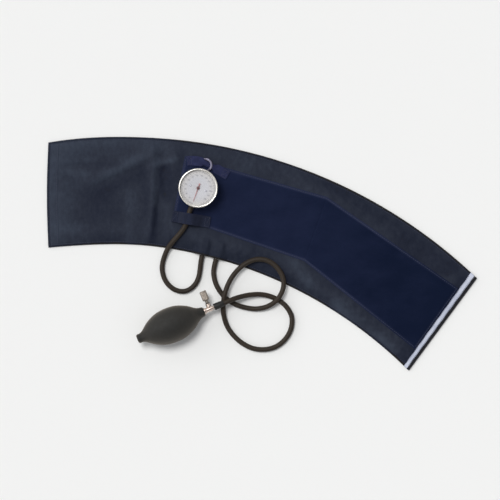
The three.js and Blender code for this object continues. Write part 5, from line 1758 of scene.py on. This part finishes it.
@dataclass(frozen=True)
class Straps:
    """The two webbing straps: one carries the gauge's hook, the other holds the gauge's tube."""

    ground: float = 8.9
    thickness: float = 1.2
    rise: float = 1.6
    upper_width: float = 13.0
    bunched_width: float = 7.0
    bunch_at: float = 31.0
    bunch_half: float = 6.5
    bunch_fade: float = 5.0
    lower_width: float = 15.5
    gather: float = 9.0
    crumple: float = 0.3
    gather_lift: float = 0.25
    lower_left: Pair = (-125.6, -1.6)
    lower_right: Pair = (-74.0, -10.0)
    crossing: float = 0.41
    tube_radius: float = 3.35
    over_tube: float = 18.85
    sewn: float = 8.0

    def build_upper(self) -> None:
        """The hook's strap: narrowed where the hook gathers it, where its two edges also crumple upwards."""
        route = np.array([
            (-105.3, 72.9, 0), (-99.0, 73.3, 0.1), (-93.0, 73.0, 0.9), (-87.5, 72.0, 1), (-82.0, 70.4, 1),
            (-77.0, 68.2, 0.5), (-69.0, 64.2, 0.2), (-58.5, 58.4, 0), (-50.0, 53.3, 0),
        ])
        path = Path(through(np.column_stack([route[:, :2], self.ground + self.rise * route[:, 2]]), 0.7))
        aside = np.abs(path.run - self.bunch_at)
        opened = smoothstep(aside, self.bunch_half, self.bunch_half + self.bunch_fade)
        width = self.bunched_width + (self.upper_width - self.bunched_width) * opened
        grid = self.webbing(path, width)
        rows, columns = grid.points.shape[:2]
        place = np.interp(np.linspace(0, 1, rows), np.linspace(0, 1, len(path.run)), path.run)
        gathered = np.exp(-(((place - self.bunch_at) / self.gather) ** 2))[:, None]
        across = np.cos(round_turn(columns - 1))
        grid.points[..., 2] += gathered * (self.crumple * np.cos(7 * across) + self.gather_lift)
        Piece("hook_strap", [grid], UPPER_WEBBING, replaces="gauge_strap_upper", crease=60).build()

    def webbing(self, path: Path, width: Array | float) -> Grid:
        """A strap's flat tape along a path."""
        return bar(path, width, self.thickness, square=0.28, sides=64, end=0.4)

    def lower_path(self) -> Path:
        """The tube's strap: level where it is sewn, arched over the tube by a smooth step on both sides.

        Returns:
            The path under the strap's middle.
        """
        start, end = (np.array([*place, self.ground]) for place in (self.lower_left, self.lower_right))
        length = np.linalg.norm(end - start)
        t = np.linspace(0, 1, 120)
        aside = np.abs(t - self.crossing) * length
        foot = np.where(t < self.crossing, self.crossing, 1 - self.crossing) * length - self.sewn
        over = 1 - smoothstep(aside, self.tube_radius, foot)
        line = start + (end - start) * t[:, None]
        line[:, 2] += (self.over_tube - self.ground) * over
        return Path(line)

    def build_lower(self) -> None:
        """The tube's strap."""
        grid = self.webbing(self.lower_path(), self.lower_width)
        Piece("tube_strap", [grid], LOWER_WEBBING, replaces="gauge_strap_lower", crease=60).build()

    def build_stitches(self) -> None:
        """A sewn box at each foot of both straps."""
        rows = []
        boxes = (
            ((-104.0, 72.9), (1.0, 0.06), 4.6, 10.0), ((-51.6, 54.2), (-0.86, 0.51), 6.4, 10.0),
            ((-124.6, -1.8), (0.987, -0.161), 6.0, 12.4), ((-75.0, -9.8), (-0.987, 0.161), 6.0, 12.4),
        )
        for start, way, length, width in boxes:
            way = unit(np.array(way))
            side = np.array([-way[1], way[0]]) * width / 2
            near, far = np.array(start), np.array(start) + way * length
            corners = np.array([near - side, far - side, far + side, near + side, near - side, far + side])
            line = raised(corners, np.full(len(corners), self.ground + self.thickness))
            run = runs(line)
            fine = read_along(np.linspace(0, run[-1], 200), run, line)
            rows.append(seam(fine, pitch=2.3, length=1.7, width=0.4))
        Piece("strap_stitches", rows, THREAD).build()

    def build(self) -> None:
        """Makes both straps and their stitches."""
        self.build_upper()
        self.build_lower()
        self.build_stitches()


# Tubes


@dataclass(frozen=True)
class Tubes:
    """The two rubber tubes. Their routes start at the gauge or at the port.

    The gauge's tube starts further back than its solid, over the barb of the stem.
    """

    diameter: float = 6.7
    bore: float = 2.1
    step: float = 1.6
    barb_cover: Point = (-99.1, 12.2, 15.4)
    gauge_route: tuple[Point, ...] = (
        (-100.7, 7.8, 15.4), (-102.7, 2.4, 15.4), (-104.4, -4.1, 14.9), (-106.3, -10.8, 13.9),
        (-109.9, -18.2, 12.6), (-115.1, -25.1, 11.4), (-120.9, -31.9, 10.4), (-126.6, -38.6, 8.9),
        (-131.7, -46.3, 6.8), (-135.7, -55.7, 4.6), (-138.2, -64.6, 3.5), (-138.9, -72.0, 3.4),
        (-137.8, -79.9, 3.4), (-135.0, -87.4, 3.4), (-130.4, -94.1, 3.4), (-124.1, -99.4, 3.4),
        (-116.6, -102.5, 3.4), (-108.9, -102.9, 3.4), (-101.8, -100.3, 3.4), (-95.9, -95.4, 3.4),
        (-91.6, -89.0, 3.4), (-89.0, -81.3, 3.4), (-87.7, -72.6, 3.7), (-86.6, -63.3, 4.5),
        (-85.0, -54.3, 4.7),
    )
    bulb_route: tuple[Point, ...] = (
        (-66.0, -59.2, 4.7), (-67.9, -66.6, 4.5), (-69.4, -78.0, 3.6), (-66.8, -91.5, 3.4),
        (-60.6, -103.3, 3.4), (-51.8, -113.2, 3.4), (-40.5, -120.3, 3.4), (-26.5, -124.9, 3.4),
        (-12.0, -126.6, 4.1), (2.0, -123.9, 6.8), (13.2, -117.4, 9.9), (21.2, -107.4, 11.0),
        (25.1, -95.2, 10.9), (23.4, -82.7, 11.0), (16.4, -71.2, 11.2), (5.4, -62.6, 11.3),
        (-7.8, -59.7, 11.3), (-21.0, -62.8, 11.1), (-33.0, -70.7, 10.8), (-43.2, -81.9, 10.5),
        (-50.8, -95.9, 10.6), (-55.1, -110.4, 10.7), (-56.5, -123.5, 8.6), (-55.4, -137.0, 5.0),
        (-50.9, -150.3, 3.5), (-42.2, -162.8, 3.4), (-30.0, -173.4, 3.4), (-15.3, -180.2, 3.4),
        (0.8, -181.4, 3.4), (16.0, -177.0, 3.4), (28.2, -166.5, 3.4), (35.3, -152.5, 3.4),
        (35.8, -136.8, 3.4), (27.8, -122.6, 3.4), (14.0, -112.6, 3.5), (-3.0, -107.5, 5.2),
        (-21.0, -107.9, 10.0), (-38.5, -112.0, 15.9), (-49.9, -116.5, 18.5), (-55.6, -118.9, 18.9),
    )

    def build_tube(
        self, name: str, route: tuple[Point, ...], replaced: str,
    ) -> None:
        """Args:
            name: the piece's name.
            route: its route.
            replaced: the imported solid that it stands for.
        """
        path = Path(through(route, self.step))
        grid = hose(path, self.diameter / 2, self.bore)
        tube = Piece(name, [grid], TUBE_RUBBER, replaces=replaced).build()
        start, thick = (np.round(np.array(each) * MM, 7).tolist() for each in (route[0], self.diameter))
        path.length * MM

    def build(self, sleeve: Part) -> None:
        """Makes both tubes; the sleeve sits on the bulb tube's far end."""
        self.build_tube("gauge_hose", (self.barb_cover, *self.gauge_route), "gauge_tube")
        self.build_tube("bulb_hose", self.bulb_route, "bulb_tube")


# Gauge


def turned_frame(origin: Point, degrees: float) -> Placement:
    """A frame turned about Z."""
    c, s = math.cos(math.radians(degrees)), math.sin(math.radians(degrees))
    return Placement(origin, (c, s, 0.0), (-s, c, 0.0), (0.0, 0.0, 1.0))


@dataclass(frozen=True)
class Gauge:
    """The dial gauge in its own frame: the case's back at z = 0 and twelve o'clock along +Y."""

    frame: Placement = turned_frame((-90.3, 36.4, 10.2), -20.0)
    case_radius: float = 23.0
    case_height: float = 25.9
    case_wall: float = 1.2
    case_back: float = 1.3
    bezel_radius: float = 26.75
    bezel_low: float = 21.5
    lip_radius: float = 24.4
    lip_under: float = 31.2
    lip_top: float = 32.3
    seat_radius: float = 25.6
    dial_radius: float = 25.3
    dial_under: float = 26.2
    dial_top: float = 26.8
    gasket_under: float = 27.1
    gasket_top: float = 28.8
    lens_under: float = 29.1
    lens_top: float = 30.9
    lens_dome: float = 0.7
    pointer_under: float = 28.0
    pointer_length: float = 19.5
    pointer_tail: float = 6.5
    hub_radius: float = 2.2
    scale_radius: float = 22.6
    number_radius: float = 17.2
    number_height: float = 2.7
    print_height: float = 0.05
    stem_axis: Placement = Placement((0.0, 0.0, 5.204), (1.0, 0.0, 0.0), (0.0, 0.0, 1.0), (0.0, -1.0, 0.0))
    full_scale: int = 300
    sweep: float = 330.0

    def piece(self, name: str, grids: list[Grid], finish: Finish, **options: Any) -> Part:
        """Makes a piece of grids given in the gauge's frame."""
        return Piece(name, [self.frame.set_in(grid) for grid in grids], finish, **options).build()

    def paint(
        self, name: str, slot: Slot, height: float, reach: float, *tints: tuple[float, Colour],
    ) -> Paint:
        """A paint tinted by the distance from the arbor at a height, up to a reach in metres."""
        centre = self.frame.put(np.array([0.0, 0.0, height])) * MM
        return Paint(name, slot, tints, tuple(centre), reach)

    def build_case(self) -> None:
        """The pressed cup with a rolled bead, and the bezel with its rounded shoulder and fine grip ring."""
        radius, bore = self.case_radius, self.case_radius - self.case_wall
        cup = rounded([
            (0, 0), (radius - 3.6, 0), (radius - 3.2, 0.5), (radius - 2.4, 0.1), (radius, 2.6),
            (radius, 15.0), (radius - 0.25, 15.3), (radius - 0.25, 16.1), (radius, 16.4),
            (radius, self.case_height), (bore, self.case_height), (bore, 2.5), (bore - 1.2, self.case_back),
            (0, self.case_back),
        ], 1.6)
        self.piece("case_cup", [lathe(cup, 128)], CHROME, replaces="gauge_case")
        outer, low, top = self.bezel_radius, self.bezel_low, self.lip_top
        section = rounded([
            (radius + GAP, low), (outer - 0.5, low), (outer, low + 1.2), (outer, low + 2.2),
            (outer - 0.35, low + 2.5), (outer - 0.35, low + 3.1), (outer, low + 3.4),
            (outer, self.lip_under - 0.9), (outer - 0.5, top - 0.35), (outer - 1.3, top),
            (self.lip_radius + 0.3, top - 0.1), (self.lip_radius, top - 0.6),
            (self.lip_radius, self.lip_under), (self.seat_radius, self.lip_under),
            (self.seat_radius, self.case_height), (radius + GAP, self.case_height),
        ], 0.9, closed=True)
        self.piece("bezel_ring", [lathe(section, 144)], CHROME, replaces="gauge_bezel")

    def build_lens(self) -> None:
        """The domed lens: a flat rim under the lip and a shallow parabola over the dial, and its seal."""
        reach = np.linspace(1, 0, 24)[:, None] * (self.lip_radius - GAP)
        dome = np.hstack([reach, self.lens_top + self.lens_dome * (1 - (reach / reach[0]) ** 2)])
        radius = self.dial_radius
        rim = rounded([
            (0, self.lens_under), (radius, self.lens_under), (radius, self.lens_top),
            (self.lip_radius - GAP, self.lens_top),
        ], 0.25)
        self.piece("dome_lens", [lathe(np.vstack([rim, dome]), 128)], LENS_GLASS, replaces="gauge_lens")
        ring = ring_section(radius - 0.8, radius, self.gasket_under, self.gasket_top, 0.3)
        self.piece("lens_seal", [lathe(ring, 128)], SEAL_RUBBER, replaces="lens_gasket")

    def on_dial(self, pressure: Array) -> Array:
        """Directions on the dial: clockwise from -Y, the full scale over the sweep."""
        turn = np.radians(np.asarray(pressure, float) * self.sweep / self.full_scale)
        return np.stack([-np.sin(turn), -np.cos(turn), 0 * turn], axis=-1)

    def build_dial(self) -> None:
        """The dial disc with its printed scale: a line every 2, a longer one every 10, and two arcs."""
        disc = ring_section(1.5, self.dial_radius, self.dial_under, self.dial_top, 0.15)
        enamel = self.paint("dial enamel", Slot.DIAL_PAINT, self.dial_top, 0.025, (0.0, (200, 200, 202)),
                            (0.5, (201, 201, 204)), (0.75, (202, 200, 199)), (0.92, (218, 215, 209)))
        self.piece("dial_disc", [lathe(disc, 128)], enamel, replaces="dial_plate")
        ink = self.paint("scale ink", Slot.DIAL_PAINT, 0.0, 0.06,
                         (0.0, (118, 118, 126)), (1.0, (134, 133, 140)))
        up = np.array([0.0, 0.0, 1.0])
        fine = np.arange(0, self.full_scale + 1, 2)
        lines = []
        for chosen, length, width in ((fine[fine % 10 != 0], 1.3, 0.16), (fine[fine % 10 == 0], 2.6, 0.3)):
            way = self.on_dial(chosen)
            centres = way * (self.scale_radius - length / 2) + up * self.dial_top
            upright = np.broadcast_to(up, way.shape)
            lines.append(small_bars(centres, way, upright, length, width, self.print_height))
        pressures = np.linspace(0, self.full_scale, 240)
        for radius, width in ((self.scale_radius, 0.3), (self.scale_radius - 1.3, 0.14)):
            line = self.on_dial(pressures) * radius + up * self.dial_top
            lines.append(bar(Path(line), width, self.print_height, square=0.5, sides=8, end=0.1))
        self.piece("dial_scale", lines, ink)
        self.build_numbers(ink)

    def build_numbers(self, ink: Paint) -> None:
        """Upright numbers every 20 of the scale, set inside its lines.

        Args:
            ink: their paint.
        """
        merged = bmesh.new()
        for pressure in range(0, self.full_scale, 20):
            text = bpy.data.curves.new(f"number {pressure}", "FONT")
            text.body = str(pressure)
            text.size, text.extrude = self.number_height, 0.02
            text.align_x, text.align_y = "CENTER", "CENTER"
            carrier = bpy.data.objects.new(text.name, text)
            flat = bpy.data.meshes.new_from_object(carrier)
            places = np.empty(len(flat.vertices) * 3, np.float32)
            flat.vertices.foreach_get("co", places)
            centre = self.on_dial(np.array(pressure)) * self.number_radius + [0, 0, self.dial_top + 0.03]
            moved = self.frame.put(places.reshape(-1, 3).astype(float) + centre) * MM
            flat.vertices.foreach_set("co", moved.astype(np.float32).ravel())
            merged.from_mesh(flat)
            bpy.data.objects.remove(carrier)
            bpy.data.meshes.remove(flat)
            bpy.data.curves.remove(text)
        mesh = bpy.data.meshes.new("dial_numbers")
        merged.to_mesh(mesh)
        merged.free()
        mesh.materials.clear()
        Piece("dial_numbers", [], ink, crease=30).finished(mesh)

    def build_pointer(self) -> None:
        """The needle, which tapers to its tip and swells into a counterweight, with a domed hub."""
        low, tail, tip = self.pointer_under, -self.pointer_tail, self.pointer_length
        reach = np.linspace(tail, tip, 90)
        line = np.column_stack([0 * reach, -reach, np.full(90, low)])
        taper = np.interp(reach, [tail, -4.6, -2.5, 0, 14, tip], [2.0, 2.3, 1.2, 1.5, 0.7, 0.35])
        needle = bar(Path(line), taper, 0.4, square=0.5, sides=16, end=0.3)
        hub = rounded([(0, low - 0.1), (self.hub_radius, low - 0.1), (self.hub_radius, low + 0.5),
                       (1.2, low + 0.85), (0, low + 0.9)], 0.3)
        red = self.paint("pointer enamel", Slot.POINTER_PAINT, low, 0.0055,
                         (0.2, (92, 58, 60)), (1.0, (186, 138, 138)))
        self.piece("needle", [needle, lathe(hub, 48)], red, body=Body.POINTER, replaces="pointer")

    def build_hook(self) -> None:
        """The spring hook: a flat strip that leaves the case, curls over the strap and ends below it."""
        shank = [(1.0, 10.5, 0), (2.0, 15.5, 0), (3.0, 20.0, 0), (3.9, 23.6, 0.1)]
        angle = np.linspace(-40, 170, 13)
        rise = smoothstep(angle, -50, -22) - smoothstep(angle, 76, 124)
        turn, curl_radius = np.radians(angle), 8.1
        curl = np.column_stack([
            -1.35 + curl_radius * np.cos(turn), 32.5 + curl_radius * np.sin(turn), rise])
        points = np.vstack([shank, curl])
        low, climb = -1.3, 2.22
        points[:, 2] = low + climb * points[:, 2]
        strip = bar(Path(through(points, 0.6)), 2.8, 1.0, square=0.45, sides=24, end=0.6)
        self.piece("spring_hook", [strip], HOOK_METAL, replaces="gauge_hook", crease=60)

    def build_stem(self) -> None:
        """The pressure stem with its flange and a barb of two ridges, laid along -Y."""
        start, flange, barb = 15.8, 23.3, 25.5
        profile = rounded([
            (1.1, start), (2.1, start), (2.1, flange), (3.5, flange), (3.5, barb), (2.1, barb),
            (2.1, barb + 0.7), (2.7, barb + 0.8), (2.1, barb + 2.3), (2.1, barb + 3.0), (2.7, barb + 3.1),
            (2.0, barb + 4.6), (1.1, barb + 4.6),
        ], 0.25, closed=True)
        laid = self.stem_axis.set_in(lathe(profile, 48))
        self.piece("pressure_stem", [laid], NICKEL, replaces="inlet_stem")

    def build(self) -> None:
        """Makes the gauge and dresses the movement that stays as packed."""
        self.build_case()
        self.build_lens()
        self.build_dial()
        self.build_pointer()
        self.build_hook()
        self.build_stem()
        posts, pillars, screws = (
            [f"{kind}_{i}" for i in (1, 2, 3)] for kind in ("base_post", "movement_pillar", "plate_screw"))
        dress(BRASS, "pointer_arbor", "sector_gear", "lower_plate", "upper_plate", "capsule", "inlet_block",
              "hairspring_stud", *posts, *pillars)
        dress(STEEL, "rocking_shaft", "push_pin", "hairspring", "hook_rivet_1", "hook_rivet_2", *screws)
        dress(DIAL_SCREW_METAL, "dial_screw_1", "dial_screw_2")


# Bulb


@dataclass(frozen=True)
class Bulb:
    """The bulb and its valves in their own frame: X along the axis from the rear end, Y to the knob's side.

    Shapes are turned about Z, and then laid along the bulb's axis or the release screw's axis.
    """

    frame: Placement = Placement(
        (-172.1, -167.8, 27.240606), (0.919836, 0.386664, -0.066274), (-0.387516, 0.921863, 0.0),
        (0.061095, 0.025682, 0.997801))
    bulb_axis: Placement = Placement((0.0, 0.0, 0.0), (0.0, 0.0, -1.0), (0.0, 1.0, 0.0), (1.0, 0.0, 0.0))
    screw_axis: Placement = Placement((106.12, 0.0, 0.0), (1.0, 0.0, 0.0), (0.0, 0.0, -1.0), (0.0, 1.0, 0.0))
    outline: tuple[Pair, ...] = (
        (0, 5.4), (7.5, 6.8), (20, 15.8), (34, 22.0), (49, 23.9), (64, 22.2), (78, 16.2), (90, 7.9),
        (97.5, 6.1))
    wall: float = 2.6
    neck_bore: float = 3.7
    knob_radius: float = 4.6
    knurl_depth: float = 0.32
    knurl_waves: int = 24
    knurl_slant: float = 3.4

    def along(self, grid: Grid) -> Grid:
        """A shape laid along the bulb's axis."""
        return self.frame.set_in(self.bulb_axis.set_in(grid))

    def beside(self, grid: Grid) -> Grid:
        """A shape laid along the release screw's axis."""
        return self.frame.set_in(self.screw_axis.set_in(grid))

    def build_bulb(self) -> None:
        """The rubber bulb: its outline turned, a wall inside it, and a faint mould line on both flanks."""
        outer = through([(radius, along, 0) for along, radius in self.outline], 1.0)[:, :2]
        lip = np.interp(outer[:, 1], [0, 1.0, 96.5, 97.5], [0.5, 0, 0, 0.5])
        outer[:, 0] += 0.5 * np.exp(-(((outer[:, 1] - 2.2) / 1.4) ** 2)) - lip
        inner = np.column_stack([np.maximum(self.neck_bore, outer[:, 0] - self.wall), outer[:, 1]])[::-1]
        grid = lathe(np.vstack([outer, inner, outer[:1]]), 112)
        outside = grid.points[:len(outer)]
        angle = round_turn(outside.shape[1] - 1)
        ridge = 0.16 * np.exp(-((np.sin(angle) ** 2 - 1) / 0.0012) ** 2)
        outside += unit(outside * [1, 1, 0]) * ridge[..., None]
        Piece("rubber_bulb", [self.along(grid)], BULB_RUBBER, replaces="bulb", crease=60).build()

    def build_valve(self) -> None:
        """The valve body: a flange, a barrel with turned grooves, the barb, and the boss of the screw."""
        barrel = rounded([
            (1.4, 86.5), (3.4, 86.5), (3.4, 97.8), (4.6, 97.8), (4.6, 99.4), (3.4, 99.5), (3.4, 100.5),
            (3.1, 100.8), (3.4, 101.1), (3.4, 101.5), (3.1, 101.8), (3.4, 102.1), (3.4, 109.9), (2.1, 109.9),
            (2.1, 111.1), (2.7, 111.3), (2.1, 113.9), (2.1, 115.1), (2.7, 115.3), (2.0, 117.9), (1.4, 117.9),
        ], 0.3, closed=True)
        boss = rounded([
            (0, 1.4), (3.0, 1.4), (3.3, 3.0), (3.3, 5.4), (3.0, 5.7), (3.3, 6.0), (3.3, 7.4), (0, 7.4)], 0.4)
        grids = [self.along(lathe(barrel, 72)), self.beside(lathe(boss, 64))]
        Piece("valve_body", grids, NICKEL, replaces="release_valve_body").build()
        disc = rounded([(0, 88.4), (1.9, 88.4), (1.9, 89.2), (0, 89.2)], 0.25)
        Piece("check_disc", [self.along(lathe(disc, 32))], SEAL_RUBBER, body=Body.OUTLET_DISC,
              replaces="outlet_disc").build()

    def build_screw(self) -> None:
        """The release screw: a cone, stem and neck turned in one, and a knob with diamond knurling.

        The knob's radius dips where two families of slanted waves round it are both low.
        """
        stem = rounded([
            (0, 2.4), (0.7, 2.4), (1.7, 4.1), (1.7, 8.9), (2.3, 8.9), (2.3, 12.0), (3.0, 12.4), (3.6, 12.4),
            (0, 12.9),
        ], 0.3)
        height = np.linspace(13.3, 25.0, 54)
        start = rounded([(0, 12.4), (3.9, 12.4), (4.5, 13.2)], 0.35)
        end = rounded([(4.5, 25.1), (3.9, 25.9), (2.6, 25.9), (2.4, 25.6), (0, 25.6)], 0.35)
        barrel = np.column_stack([np.full(len(height), self.knob_radius), height])
        grid = lathe(np.vstack([start, barrel, end]), 192)
        knurled = grid.points[len(start):len(start) + len(height)]
        angle = self.knurl_waves * round_turn(knurled.shape[1] - 1)
        rise = height[:, None] * self.knurl_slant
        cuts = np.maximum(np.cos(angle + rise), np.cos(angle - rise))
        depth = self.knurl_depth * (0.5 + 0.5 * cuts) ** 3
        knurled -= unit(knurled * [1, 1, 0]) * depth[..., None]
        Piece("release_knob", [self.beside(lathe(stem, 48)), self.beside(grid)], KNURLED, body=Body.SCREW,
              replaces="release_screw", crease=50).build()
        ring = ring_section(2.0, 3.3, 7.7, 8.6, 0.45)
        Piece("screw_o_ring", [self.beside(lathe(ring, 48))], SEAL_RUBBER, body=Body.SEAL,
              replaces="release_o_ring").build()

    def build_sleeve(self) -> Part:
        """The thick rubber sleeve over the valve's barb and the tube's end.

        Returns:
            The sleeve.
        """
        profile = rounded([
            (3.0, 112.3), (4.3, 112.3), (4.6, 113.0), (4.6, 120.7), (4.2, 123.4), (3.9, 126.3), (3.0, 126.3),
        ], 0.5, closed=True)
        grid = self.along(lathe(profile, 64))
        return Piece("hose_sleeve", [grid], SEAL_RUBBER, replaces="tube_sleeve").build()

    def build(self) -> Part:
        """Makes the bulb, its valves and the sleeve, which it hands back for the tube.

        Returns:
            The sleeve.
        """
        self.build_bulb()
        self.build_valve()
        self.build_screw()
        dress(NICKEL, "intake_body")
        dress(STEEL, "intake_ball", "intake_screen", "disc_retainer")
        return self.build_sleeve()


# Studio


@dataclass(frozen=True)
class Studio:
    """The floor, the lamps and the camera, which looks straight down. Lengths in metres."""

    centre: Pair = (-0.02025, -0.04725)
    view_width: float = 0.675
    camera_height: float = 2.0
    floor_size: float = 3.0
    floor_height: float = -0.0003
    floor_colour: Colour = (241, 241, 239)
    backdrop: Colour = (244, 244, 242)
    horizon: Colour = (250, 249, 246)
    high_sky: Colour = (146, 146, 148)
    overhead: Colour = (70, 72, 76)
    lamp_tint: Colour = (250, 251, 255)
    key_light: float = 1.82
    fill_light: float = 0.75
    world_light: float = 0.35

    def build_camera(self) -> None:
        """The camera, over the photograph's middle with its framing."""
        data = bpy.data.cameras.new("camera")
        data.type = "ORTHO"
        data.ortho_scale = self.view_width
        data.clip_start, data.clip_end = 0.1, 10.0
        camera = bpy.data.objects.new("camera", data)
        camera.location = (*self.centre, self.camera_height)
        bpy.context.scene.collection.objects.link(camera)
        bpy.context.scene.camera = camera
        bpy.context.scene.view_settings.view_transform = "Standard"

    def build_floor(self) -> None:
        """A plain floor just under the cuff, with a faint grain of two near tints."""
        half = self.floor_size / 2
        mesh = bpy.data.meshes.new("floor")
        low = self.floor_height
        corners = [(-half, -half, low), (half, -half, low), (half, half, low), (-half, half, low)]
        mesh.from_pydata(corners, [], [(0, 1, 2, 3)])
        material = bpy.data.materials.new("floor paper")
        material.use_nodes = True
        graph = Graph(material.node_tree)
        grain = graph.noise(graph.place(), 900.0, 2.0)
        colour = graph.ramp(grain, [(0.0, self.floor_colour), (1.0, self.backdrop)])
        graph.output(graph.principled({"Base Color": colour, "Roughness": 0.9, "Specular IOR Level": 0.1}))
        mesh.materials.append(material)
        floor = bpy.data.objects.new("floor", mesh)
        bpy.context.scene.collection.objects.link(floor)

    def build_lamp(self, name: str, strength: float, azimuth: float, elevation: float, spread: float) -> None:
        """A distant lamp.

        Args:
            name: its name.
            strength: its light on a surface that faces it.
            azimuth: the direction it shines from, clockwise from +Y seen from above.
            elevation: its height over the floor, in degrees.
            spread: its size in the sky, in degrees.
        """
        data = bpy.data.lights.new(name, "SUN")
        data.energy, data.angle = strength, math.radians(spread)
        lamp = bpy.data.objects.new(name, data)
        lamp.rotation_euler = (math.radians(90 - elevation), 0.0, math.radians(180 - azimuth))
        bpy.context.scene.collection.objects.link(lamp)

    def build_world(self) -> None:
        """Even light for the object, and for what mirrors it a sky that darkens overhead and to one side."""
        world = bpy.data.worlds.new("studio")
        world.use_nodes = True
        bpy.context.scene.world = world
        graph = Graph(world.node_tree)
        east, north, height = graph.parts(graph.node("TexCoord", output="Generated"))
        level = (height + east * 0.2 - north * 0.12).clamped()
        tints = [(0.0, self.backdrop), (0.5, self.horizon), (0.82, self.high_sky), (1.0, self.overhead)]
        sky = graph.ramp(level, tints)
        camera, glossy, through_glass = (
            graph.node("LightPath", output=f"Is {kind} Ray") for kind in ("Camera", "Glossy", "Transmission"))
        bounced = graph.node("LightPath", output="Diffuse Depth").clamped()
        factor = (camera + glossy + through_glass).clamped() * (1.0 - bounced)
        lit = {"Color": linear(self.lamp_tint), "Strength": self.world_light}
        even = graph.node("Background", inputs=lit)
        shown = graph.node("Background", inputs={"Color": sky, "Strength": 1.0})
        mixed = graph.node("MixShader", inputs={0: factor, 1: even, 2: shown})
        graph.node("OutputWorld", inputs={"Surface": mixed})

    def build(self) -> None:
        """Makes the studio."""
        self.build_camera()
        self.build_floor()
        self.build_lamp("key lamp", self.key_light, azimuth=-45.0, elevation=70.0, spread=20.0)
        self.build_lamp("fill lamp", self.fill_light, azimuth=-75.0, elevation=30.0, spread=60.0)
        self.build_world()


def main() -> None:
    """Builds the studio, the tubes with the bulb that they lead to, the cuff, its straps and the gauge."""
    Studio().build()
    sleeve = Bulb().build()
    Tubes().build(sleeve)
    Cuff().build()
    Straps().build()
    Gauge().build()


if __name__ == "__main__":
    main()
